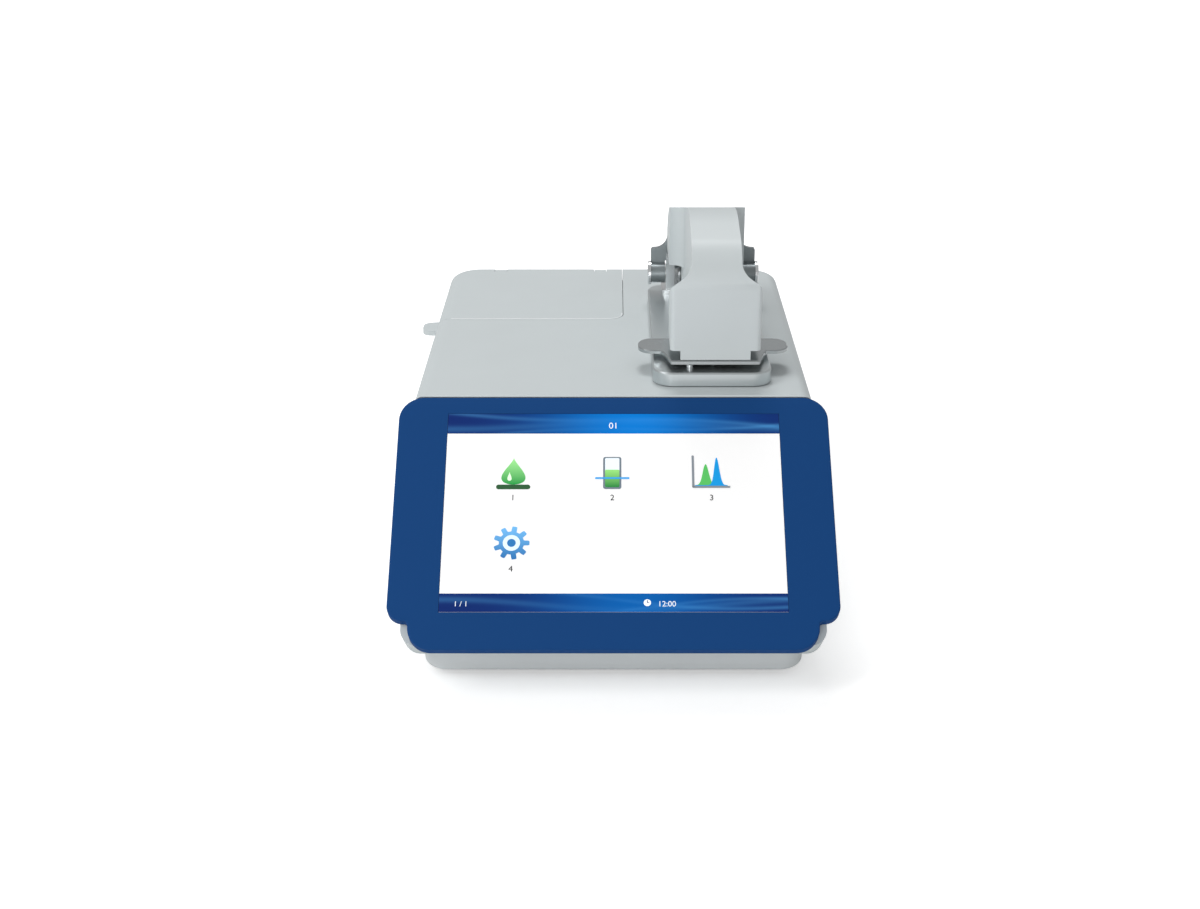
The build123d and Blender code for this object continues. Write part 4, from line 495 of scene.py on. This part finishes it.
@dataclass(frozen=True)
class CellPicture:
    """A square cell with liquid in it and a beam through it, in shares of the picture's size."""

    wall_width: float = 0.56
    wall_height: float = 1.10
    wall_corner: float = 0.07
    inside_width: float = 0.44
    inside_height: float = 1.00
    inside_corner: float = 0.04
    inside_up: float = 0.01
    liquid_height: float = 0.60
    liquid_down: float = 0.19
    beam_width: float = 1.05
    beam_height: float = 0.06
    beam_corner: float = 0.02
    beam_down: float = 0.18
    wall_colour: Colour = (0.16, 0.20, 0.24)
    inside_colour: Colour = (0.80, 0.88, 0.92)
    liquid_fade: Fade = Fade((0.02, 0.22, 0.05), (0.30, 0.72, 0.20))
    beam_colour: Colour = (0.05, 0.35, 0.75)

    def prints(self) -> list[Print]:
        """Works out the picture's shapes, which are all rectangles with round corners.

        Returns:
            The wall, the space inside it, the liquid and the beam.
        """
        wall = rounded_rectangle(self.wall_width, self.wall_height, self.wall_corner)
        inside = rounded_rectangle(self.inside_width, self.inside_height, self.inside_corner)
        liquid = rounded_rectangle(self.inside_width, self.liquid_height, self.inside_corner)
        beam = rounded_rectangle(self.beam_width, self.beam_height, self.beam_corner)
        liquid_colours = self.liquid_fade.over(liquid, self.liquid_height / 2)
        return [
            Print("cell_wall", wall, self.wall_colour, level=2),
            Print("cell_inside", inside, self.inside_colour, level=3, up=self.inside_up),
            Print("cell_liquid", liquid, liquid_colours, level=4, up=-self.liquid_down),
            Print("cell_beam", beam, self.beam_colour, level=5, up=-self.beam_down),
        ]


@dataclass(frozen=True)
class Peak:
    """One bell curve of a spectrum."""

    centre: float
    width: float
    height: float
    colour: Colour


@dataclass(frozen=True)
class PeakPicture:
    """A spectrum of two peaks between a base line and an upright, in shares of the size."""

    peaks: tuple[Peak, ...] = (
        Peak(centre=-0.16, width=0.13, height=0.72, colour=(0.10, 0.50, 0.12)),
        Peak(centre=0.18, width=0.11, height=0.95, colour=(0.01, 0.30, 0.70)),
    )
    first_level: int = 3
    half_width: float = 0.5
    base_height: float = -0.42
    foot_height: float = -0.46
    points: int = 60
    line_length: float = 1.16
    line_width: float = 0.07
    line_corner: float = 0.03
    axis_down: float = 0.48
    upright_share: float = 0.95
    upright_left: float = 0.55
    upright_up: float = 0.05
    line_colour: Colour = (0.22, 0.25, 0.28)

    def prints(self) -> list[Print]:
        """Works out the picture's shapes.

        Returns:
            The peaks, the base line and the upright.
        """
        filled = [
            Print(f"peak_{number}", self._filled(peak), peak.colour, level=self.first_level + number)
            for number, peak in enumerate(self.peaks)
        ]
        axis = rounded_rectangle(self.line_length, self.line_width, self.line_corner)
        upright = swapped(axis) * [1.0, self.upright_share]
        return filled + [
            Print("peak_axis", axis, self.line_colour, level=5, up=-self.axis_down),
            Print("peak_upright", upright, self.line_colour, level=5,
                  across=-self.upright_left, up=self.upright_up),
        ]

    def _filled(self, peak: Peak) -> np.ndarray:
        """Outline of a peak: a bell curve above the base height, closed straight below it.

        Args:
            peak: The peak.

        Returns:
            Array of shape (points + 2, 2).
        """
        s = np.linspace(-self.half_width, self.half_width, self.points)
        curve = self.base_height + peak.height * np.exp(-((s - peak.centre) / peak.width) ** 2)
        top = np.stack([s[::-1], curve[::-1]], axis=-1)
        feet = [[-self.half_width, self.foot_height], [self.half_width, self.foot_height]]
        return np.concatenate([top, feet])


@dataclass(frozen=True)
class GearPicture:
    """A blue gear with a pale face and a dark hub, in shares of the picture's size."""

    teeth: int = 9
    steepness: float = 3.0
    mean_radius: float = 0.462
    half_depth: float = 0.0825
    face_radius: float = 0.26
    hub_radius: float = 0.13
    points: int = 160
    fade_reach: float = 0.5
    body_fade: Fade = Fade((0.03, 0.16, 0.42), (0.16, 0.46, 0.82))
    face_colour: Colour = (0.72, 0.84, 0.94)
    hub_colour: Colour = (0.03, 0.18, 0.45)

    def prints(self) -> list[Print]:
        """Works out the picture's shapes.

        The gear's radius is the mean radius plus half a tooth's depth times a cosine that is
        made steeper and then clipped, so that it steps between root and tip.

        Returns:
            The gear, its face and its hub.
        """
        step = (self.steepness * np.cos(self.teeth * full_turn(self.points))).clip(-1, 1)
        radius = self.mean_radius + self.half_depth * step
        body = radius[:, None] * circle(1.0, self.points)
        return [
            Print("gear_body", body, self.body_fade.over(body, self.fade_reach), level=2),
            Print("gear_face", circle(self.face_radius, self.points), self.face_colour, level=3),
            Print("gear_hub", circle(self.hub_radius, self.points), self.hub_colour, level=4),
        ]


class Motif(Enum):
    """The simple pictures on the screen's menu."""

    DROP = DropPicture()
    CELL = CellPicture()
    PEAKS = PeakPicture()
    GEAR = GearPicture()


@dataclass(frozen=True)
class Streak:
    """One soft streak of light in a band, in shares of the band's height."""

    centre: float
    width: float
    strength: float


@dataclass(frozen=True)
class BandColours:
    """The blues of the bands across the screen, with their glow and their streaks."""

    dark: Colour = (0.004, 0.020, 0.13)
    bright: Colour = (0.0, 0.17, 0.58)
    pale: Colour = (0.10, 0.42, 0.85)
    glow_centre: float = 0.06
    glow_width: float = 0.24
    streaks: tuple[Streak, ...] = (
        Streak(centre=0.70, width=0.10, strength=0.50),
        Streak(centre=0.40, width=0.16, strength=0.35),
        Streak(centre=0.15, width=0.08, strength=0.40),
    )
    swing: float = 0.5
    wave_rate: float = 6.0
    wave_shift: float = 1.3
    lean: float = 0.8
    middle_strength: float = 0.25
    side_strength: float = 0.75
    streak_share: float = 0.45

    def over(self, s: np.ndarray, t: np.ndarray, bend: float, brightness: float) -> np.ndarray:
        """Colour at each point of a band.

        The dark blue brightens towards the middle as a bell curve. Each streak is a bell
        curve about its own middle line, which is a sine across the band, and it is stronger
        towards the sides. The streaks above and below the middle one lean opposite ways. All
        of them draw the colour towards the pale blue.

        Args:
            s: Place across the band, from -0.5 to 0.5.
            t: Place up the band, from 0 to 1.
            bend: How strongly the streaks swing.
            brightness: Brightness of the glow.

        Returns:
            Array with a last axis of three.
        """
        dark, bright, pale = np.array(self.dark), np.array(self.bright), np.array(self.pale)
        glow = np.exp(-((s - self.glow_centre) / self.glow_width) ** 2)
        colours = dark + brightness * glow[..., None] * (bright - dark)
        light = np.zeros_like(s)
        for number, streak in enumerate(self.streaks):
            wave = bend * self.swing * np.sin(self.wave_rate * s + self.wave_shift * number)
            line = streak.centre + wave + self.lean * s * (number - len(self.streaks) // 2)
            bell = np.exp(-((t - line) / streak.width) ** 2)
            light += streak.strength * bell * (self.middle_strength + self.side_strength * np.abs(2 * s))
        return colours + self.streak_share * light[..., None] * (pale - colours)


@dataclass(frozen=True)
class Digits:
    """Plain digits: what they are, the height of their type and their colour."""

    text: str
    size: float
    colour: Colour


@dataclass
class ScreenImage:
    """The lit image on the touch screen: bands, menu pictures, plain numbers and a clock."""

    face: SlantFace
    lift: float = 0.04 * MM
    band_colours: BandColours = BandColours()
    band_columns: int = 241
    band_rows: int = 25
    header_height: float = 10.8 * MM
    header_bend: float = 0.35
    header_brightness: float = 1.0
    footer_height: float = 9.1 * MM
    footer_bend: float = -0.55
    footer_brightness: float = 0.55
    picture_size: float = 15.5 * MM
    columns: tuple[float, float, float] = (-47.6 * MM, -0.6 * MM, 46.4 * MM)
    upper_row: float = 71.0 * MM
    lower_row: float = 34.5 * MM
    label_down: float = 13.2 * MM
    label_size: float = 4.2 * MM
    label_colour: Colour = (0.03, 0.03, 0.03)
    digits_level: int = 4
    header_digits: Digits = Digits("01", 4.6 * MM, (0.90, 0.93, 0.96))
    header_digits_share: float = 0.62
    page_digits: Digits = Digits("1 / 1", 3.6 * MM, (0.80, 0.85, 0.90))
    page_across: float = -70.0 * MM
    time_digits: Digits = Digits("12:00", 3.8 * MM, (0.85, 0.90, 0.95))
    time_across: float = 24.5 * MM
    footer_digits_share: float = 0.42
    clock_across: float = 15.5 * MM
    clock_radius: float = 1.7 * MM
    clock_points: int = 32
    clock_colour: Colour = (0.88, 0.92, 0.96)
    hand_width: float = 0.35 * MM
    hand_length: float = 1.3 * MM
    hand_corner: float = 0.1 * MM
    hand_colour: Colour = (0.01, 0.03, 0.15)
    long_hand_up: float = 0.55 * MM
    short_hand_right: float = 0.4 * MM
    short_hand_share: float = 0.8

    def build(self) -> None:
        """Builds every layer of the image."""
        dress(SCREEN_WHITE, "touch_panel")
        top = self.face.height
        self._band("screen_header", top - self.header_height, top, self.header_bend, self.header_brightness)
        self._band("screen_footer", 0.0, self.footer_height, self.footer_bend, self.footer_brightness)
        spots = [
            (Motif.DROP, self.columns[0], self.upper_row),
            (Motif.CELL, self.columns[1], self.upper_row),
            (Motif.PEAKS, self.columns[2], self.upper_row),
            (Motif.GEAR, self.columns[0], self.lower_row),
        ]
        for number, (motif, across, up) in enumerate(spots, start=1):
            self._picture(motif, across, up)
            label = Digits(str(number), self.label_size, self.label_colour)
            self._digits(f"label_{number}", label, across, up - self.label_down)
        header_middle = top - self.header_height * self.header_digits_share
        self._digits("header_number", self.header_digits, 0.0, header_middle)
        footer_middle = self.footer_height * self.footer_digits_share
        self._digits("footer_left", self.page_digits, self.page_across, footer_middle)
        self._digits("clock_digits", self.time_digits, self.time_across, footer_middle)
        self._clock(self.clock_across, self.footer_height / 2)

    def _layer(
        self, name: str, outline: np.ndarray, across: float, up: float, level: int, paint: Paint
    ) -> None:
        """Adds a flat printed shape.

        Args:
            name: The piece's name.
            outline: Array of shape (count, 2) about the shape's middle.
            across: Place of the middle across the screen.
            up: Place of the middle up the screen.
            level: How many layers it lies above the glass.
            paint: One colour, or one at each point.
        """
        points = self.face.place(outline[:, 0] + across, outline[:, 1] + up, self.lift * level)
        mesh = flat_mesh(name, points)
        tint(mesh, np.broadcast_to(paint, (len(outline), 3)))
        finished(name, mesh, SCREEN_PRINT, "instrument")

    def _band(self, name: str, low: float, high: float, bend: float, brightness: float) -> None:
        """Adds a band across the screen: a flat grid that carries the band's colours.

        Args:
            name: The piece's name.
            low: Lower edge, up the slant.
            high: Upper edge.
            bend: How strongly its streaks swing.
            brightness: Brightness of its glow.
        """
        across = np.linspace(-self.face.width / 2, self.face.width / 2, self.band_columns)
        up = np.linspace(low, high, self.band_rows)
        grid_up, grid_across = np.meshgrid(up, across, indexing="ij")
        s = grid_across / self.face.width
        t = (grid_up - low) / (high - low)
        colours = self.band_colours.over(s, t, bend, brightness)
        mesh = grid_mesh(name, self.face.place(grid_across, grid_up, self.lift), smooth=False)
        tint(mesh, colours.reshape(-1, 3))
        finished(name, mesh, SCREEN_PRINT, "instrument")

    def _picture(self, motif: Motif, across: float, up: float) -> None:
        """Adds one menu picture.

        Args:
            motif: Which picture.
            across: Place of its middle across the screen.
            up: Place of its middle up the screen.
        """
        size = self.picture_size
        for shape in motif.value.prints():
            middle_across = across + shape.across * size
            middle_up = up + shape.up * size
            self._layer(shape.name, shape.outline * size, middle_across, middle_up, shape.level, shape.paint)

    def _clock(self, across: float, up: float) -> None:
        """Adds the small clock beside the time: a round face and two hands.

        Args:
            across: Place of its middle across the screen.
            up: Place of its middle up the screen.
        """
        dial = circle(self.clock_radius, self.clock_points)
        self._layer("clock_face", dial, across, up, 2, self.clock_colour)
        hand = rounded_rectangle(self.hand_width, self.hand_length, self.hand_corner)
        self._layer("clock_long_hand", hand, across, up + self.long_hand_up, 3, self.hand_colour)
        short = swapped(hand) * self.short_hand_share
        self._layer("clock_short_hand", short, across + self.short_hand_right, up, 3, self.hand_colour)

    def _digits(self, name: str, digits: Digits, across: float, up: float) -> None:
        """Adds plain digits, centred, turned from text into a mesh in its place.

        Args:
            name: The piece's name.
            digits: The digits.
            across: Place of their middle across the screen.
            up: Place of their middle up the screen.
        """
        text = bpy.data.curves.new(name, "FONT")
        text.body = digits.text
        text.size = digits.size
        text.align_x = "CENTER"
        text.align_y = "CENTER"
        holder = bpy.data.objects.new(name + "_text", text)
        bpy.context.scene.collection.objects.link(holder)
        bpy.context.view_layer.update()
        mesh = bpy.data.meshes.new_from_object(holder)
        mesh.name = name
        mesh.materials.clear()
        bpy.data.objects.remove(holder)
        flat = np.zeros(len(mesh.vertices) * 3)
        mesh.vertices.foreach_get("co", flat)
        flat = flat.reshape(-1, 3)
        points = self.face.place(flat[:, 0] + across, flat[:, 1] + up, self.lift * self.digits_level)
        mesh.vertices.foreach_set("co", points.ravel())
        tint(mesh, np.broadcast_to(digits.colour, (len(flat), 3)))
        mesh.update()
        finished(name, mesh, SCREEN_PRINT, "instrument")


@dataclass
class Housing:
    """The moulded housing, tray, feet, slanted front, lid and rear panel."""

    def dress(self) -> None:
        """Gives the outer solids their finishes."""
        dress(HOUSING_GREY, "upper_housing", "cuvette_lid")
        dress(TRAY_GREY, "bottom_tray", "rear_panel")
        dress(FASCIA_BLUE, "front_fascia")
        dress(RUBBER, "rubber_feet")
        dress(SCREW_STEEL, "housing_screws", "rear_panel_screws", "fascia_screws")
        dress(BLACK_PLASTIC, "dc_jack", "switch_body", "switch_rocker", "display_module")
        dress(SHEET_METAL, "usb_sockets", "display_bracket")


@dataclass
class SampleArm:
    """The arm with its base, its hinge and its pedestals."""

    def dress(self) -> None:
        """Gives the arm's solids their finishes."""
        dress(ARM_GREY, "arm_cover")
        dress(TRAY_GREY, "arm_underside")
        dress(FRAME_METAL, "arm_frame")
        dress(BASE_METAL, "arm_base_plate")
        dress(PLATE_STEEL, "lift_plate")
        dress(HINGE_STEEL, "hinge_bracket", "hinge_pin", "hinge_end_caps")
        dress(BRONZE, "hinge_bushes")
        dress(SCREW_STEEL, "base_plate_screws", "hinge_bracket_screws", "arm_screws", "lift_plate_screws")
        dress(POLISHED, "lower_pedestal", "upper_pedestal", "path_plunger")
        dress(RUBBER, "base_gasket", "arm_fibre")


@dataclass
class CuvetteBay:
    """The deck, holder and seal under the lid, and the fine pale bead along the lid's edge, a painted
    highlight.
    """

    bead_radius: float = 0.42 * MM
    bead_rise: float = 0.55
    corner_radius: float = 8.0 * MM
    shoulder_radius: float = 6.5 * MM
    shoulder_clearance: float = 1.0 * MM
    side_run: float = 3.0 * MM
    taper: float = 1.0 * MM
    end_share: float = 0.02
    corner_points: int = 14
    section_points: int = 9
    top_reach: float = 0.02 * MM

    def dress(self) -> None:
        """Gives the bay's solids their finishes."""
        dress(DECK_BLACK, "cuvette_deck")
        dress(BLACK_PLASTIC, "cuvette_holder")
        dress(FOAM, "lid_seal")
        dress(SCREW_STEEL, "deck_screws")
        dress(HINGE_STEEL, "lid_hinge_pins")
        dress(BOARD_GREEN, "cuvette_led_board", "cuvette_sensor_board")

    def build_bead(self) -> None:
        """Adds the bead that stands a little proud along the lid's front edge, in a grey paler than the lid,
        which paints the edge's highlight.

        Its section is the upper half of an ellipse, as wide as the bead and bead_rise times
        as high as its radius, drawn almost to a point at both ends of its middle line.
        """
        path = self._bead_path()
        grown = np.ones(len(path))
        grown[[0, -1]] = self.end_share
        along = np.gradient(path, axis=0)
        along /= np.linalg.norm(along, axis=1, keepdims=True)
        across = np.stack([along[:, 1], -along[:, 0]], axis=-1)
        half = np.linspace(0.0, math.pi, self.section_points)
        side = self.bead_radius * np.cos(half)
        rise = self.bead_radius * self.bead_rise * np.sin(half)
        points = np.zeros((len(path), len(half), 3))
        points[:, :, :2] = path[:, None, :] + across[:, None, :] * (grown[:, None] * side[None, :])[..., None]
        points[:, :, 2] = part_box("cuvette_lid")[1].z + grown[:, None] * rise[None, :]
        # The bead's pale grey paints a highlight along the lid's front edge.
        finished("lid_edge_highlight_bead", grid_mesh("lid_edge_highlight_bead", points), BEAD_HIGHLIGHT_GREY, "lid")

    def _bead_path(self) -> np.ndarray:
        """Middle line of the bead, seen from above.

        It runs straight behind the lid's front edge, turns by a quarter circle at the corner
        and ends a little further back.

        Returns:
            Array of shape (points, 2).
        """
        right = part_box("cuvette_lid")[1].x - self.bead_radius
        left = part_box("upper_housing")[0].x + self.shoulder_radius + self.shoulder_clearance
        front = self._front_edge() + self.bead_radius
        radius = self.corner_radius - self.bead_radius
        last = front + radius + self.side_run
        turn = np.linspace(-math.pi / 2, 0.0, self.corner_points)
        centre = np.array([right - radius, front + radius])
        arc = centre + radius * np.stack([np.cos(turn), np.sin(turn)], axis=-1)
        starts = [[left, front], [left + self.taper, front]]
        ends = [[right, last - self.taper], [right, last]]
        return np.concatenate([starts, arc, ends])

    def _front_edge(self) -> float:
        """Finds the lid's front edge on its top face.

        Returns:
            Its Y.
        """
        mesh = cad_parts["cuvette_lid"].data
        flat = np.zeros(len(mesh.vertices) * 3)
        mesh.vertices.foreach_get("co", flat)
        places = flat.reshape(-1, 3)
        top = places[places[:, 2] > places[:, 2].max() - self.top_reach]
        return float(top[:, 1].min())


@dataclass
class Interior:
    """The chassis, optics, drive and boards inside."""

    def dress(self) -> None:
        """Gives the inner solids their finishes."""
        dress(SHEET_METAL, "chassis", "motor_bracket")
        dress(SCREW_STEEL, "chassis_screws", "lead_screw")
        dress(FRAME_METAL, "spectrometer_case", "spectrometer_lid", "lamp_housing")
        dress(MIRROR, "diffraction_grating", "spectrometer_mirrors", "flash_lamp")
        dress(BOARD_GREEN, "mainboard", "sensor_board")
        dress(BLACK_PLASTIC, "board_components", "stepper_motor")
        dress(BRONZE, "board_standoffs")
        dress(RUBBER, "spectrometer_fibre", "lamp_fibre")


@dataclass(frozen=True)
class Lamp:
    """A square soft light that faces the instrument."""

    name: str
    place: tuple[float, float, float]
    side: float
    watts: float

    def hang(self, aim_height: float) -> None:
        """Puts the light in the scene, turned to a point straight above the origin.

        Args:
            aim_height: Height of that point.
        """
        light = bpy.data.lights.new(self.name, "AREA")
        light.size = self.side
        light.energy = self.watts
        holder = bpy.data.objects.new(self.name, light)
        holder.location = self.place
        bpy.context.scene.collection.objects.link(holder)
        towards = np.array([0.0, 0.0, aim_height]) - np.array(self.place)
        tilt = math.atan2(math.hypot(towards[0], towards[1]), -towards[2])
        heading = math.atan2(towards[1], towards[0]) - math.pi / 2
        holder.rotation_euler = (tilt, 0.0, heading)


@dataclass
class Studio:
    """The pale floor, the soft lights and the camera.

    The camera's tilt is in degrees from straight down. The axis pixel is where the lens
    looks straight ahead, in the photograph's own frame, as is the focal length in pixels.
    """

    camera_y: float = -0.8222
    camera_z: float = 0.4025
    camera_tilt: float = 67.4
    sensor_width: float = 36.0
    focal_pixels: float = 1673.0
    axis_pixel_x: float = 613.5
    axis_pixel_y: float = 445.4
    floor_size: float = 12.0
    floor_colour: float = 0.93
    floor_roughness: float = 0.9
    floor_lift: float = 0.38
    fade_near: float = 0.35
    fade_far: float = 1.4
    surround: float = 0.44
    aim_height: float = 0.08
    lamps: tuple[Lamp, ...] = (
        Lamp("key_light", (-1.3, -0.7, 1.4), side=0.8, watts=13.0),
        Lamp("back_light", (0.0, 0.8, 1.5), side=0.5, watts=9.0),
        Lamp("front_light", (-0.3, -1.6, 0.35), side=0.7, watts=6.0),
    )

    def build(self) -> None:
        """Builds the studio."""
        self._floor()
        self._world()
        for lamp in self.lamps:
            lamp.hang(self.aim_height)
        self._camera()

    def _floor(self) -> None:
        """Lays the floor, a flat square."""
        half = self.floor_size / 2
        corners = np.array([[-half, -half, 0.0], [half, -half, 0.0], [half, half, 0.0], [-half, half, 0.0]])
        mesh = flat_mesh("floor", corners)
        mesh.materials.append(self._floor_material())
        floor = bpy.data.objects.new("floor", mesh)
        bpy.context.scene.collection.objects.link(floor)

    def _floor_material(self) -> bpy.types.Material:
        """Makes the floor's material, which keeps the shadow and shows white to the camera.

        To camera rays alone it also glows: by floor_lift near the instrument, and evenly more
        with the distance from the origin, from fade_near up to full white at fade_far.

        Returns:
            The material.
        """
        made = bpy.data.materials.new("floor_white")
        made.use_nodes = True
        tree = made.node_tree
        shader = tree.nodes["Principled BSDF"]
        shader.inputs["Base Color"].default_value = (self.floor_colour,) * 3 + (1.0,)
        shader.inputs["Roughness"].default_value = self.floor_roughness
        shader.inputs["Specular IOR Level"].default_value = 0.0
        shader.inputs["Emission Color"].default_value = (1.0, 1.0, 1.0, 1.0)
        place = tree.nodes.new("ShaderNodeTexCoord")
        distance = tree.nodes.new("ShaderNodeVectorMath")
        distance.operation = "LENGTH"
        fade = tree.nodes.new("ShaderNodeMapRange")
        fade.inputs["From Min"].default_value = self.fade_near
        fade.inputs["From Max"].default_value = self.fade_far
        fade.inputs["To Min"].default_value = self.floor_lift
        fade.inputs["To Max"].default_value = 1.0
        rays = tree.nodes.new("ShaderNodeLightPath")
        glow = tree.nodes.new("ShaderNodeMath")
        glow.operation = "MULTIPLY"
        tree.links.new(place.outputs["Object"], distance.inputs[0])
        tree.links.new(distance.outputs["Value"], fade.inputs["Value"])
        tree.links.new(rays.outputs["Is Camera Ray"], glow.inputs[0])
        tree.links.new(fade.outputs["Result"], glow.inputs[1])
        tree.links.new(glow.outputs["Value"], shader.inputs["Emission Strength"])
        return made

    def _world(self) -> None:
        """Sets the surround: even and pale on the instrument, and white to the camera."""
        world = bpy.data.worlds.new("studio")
        world.use_nodes = True
        bpy.context.scene.world = world
        tree = world.node_tree
        background = tree.nodes["Background"]
        background.inputs["Color"].default_value = (1.0, 1.0, 1.0, 1.0)
        rays = tree.nodes.new("ShaderNodeLightPath")
        strength = tree.nodes.new("ShaderNodeMapRange")
        strength.inputs["To Min"].default_value = self.surround
        strength.inputs["To Max"].default_value = 1.0
        tree.links.new(rays.outputs["Is Camera Ray"], strength.inputs["Value"])
        tree.links.new(strength.outputs["Result"], background.inputs["Strength"])

    def _camera(self) -> None:
        """Sets the camera at the photograph's angle."""
        lens = bpy.data.cameras.new("camera")
        lens.sensor_width = self.sensor_width
        lens.lens = self.sensor_width * self.focal_pixels / IMAGE_WIDTH
        lens.shift_x = (IMAGE_WIDTH / 2 - self.axis_pixel_x) / IMAGE_WIDTH
        lens.shift_y = (self.axis_pixel_y - IMAGE_HEIGHT / 2) / IMAGE_WIDTH
        camera = bpy.data.objects.new("camera", lens)
        camera.location = (0.0, self.camera_y, self.camera_z)
        camera.rotation_euler = (math.radians(self.camera_tilt), 0.0, 0.0)
        bpy.context.scene.collection.objects.link(camera)
        bpy.context.scene.camera = camera


def main() -> None:
    """Dresses the solids, builds the added pieces and the studio."""
    logging.basicConfig(level=logging.INFO, format="%(message)s")
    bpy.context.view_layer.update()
    bpy.context.scene.view_settings.view_transform = "Standard"
    Housing().dress()
    ScreenImage(SlantFace.of_glass()).build()
    SampleArm().dress()
    bay = CuvetteBay()
    bay.dress()
    bay.build_bead()
    Interior().dress()
    Studio().build()


if __name__ == "__main__":
    main()
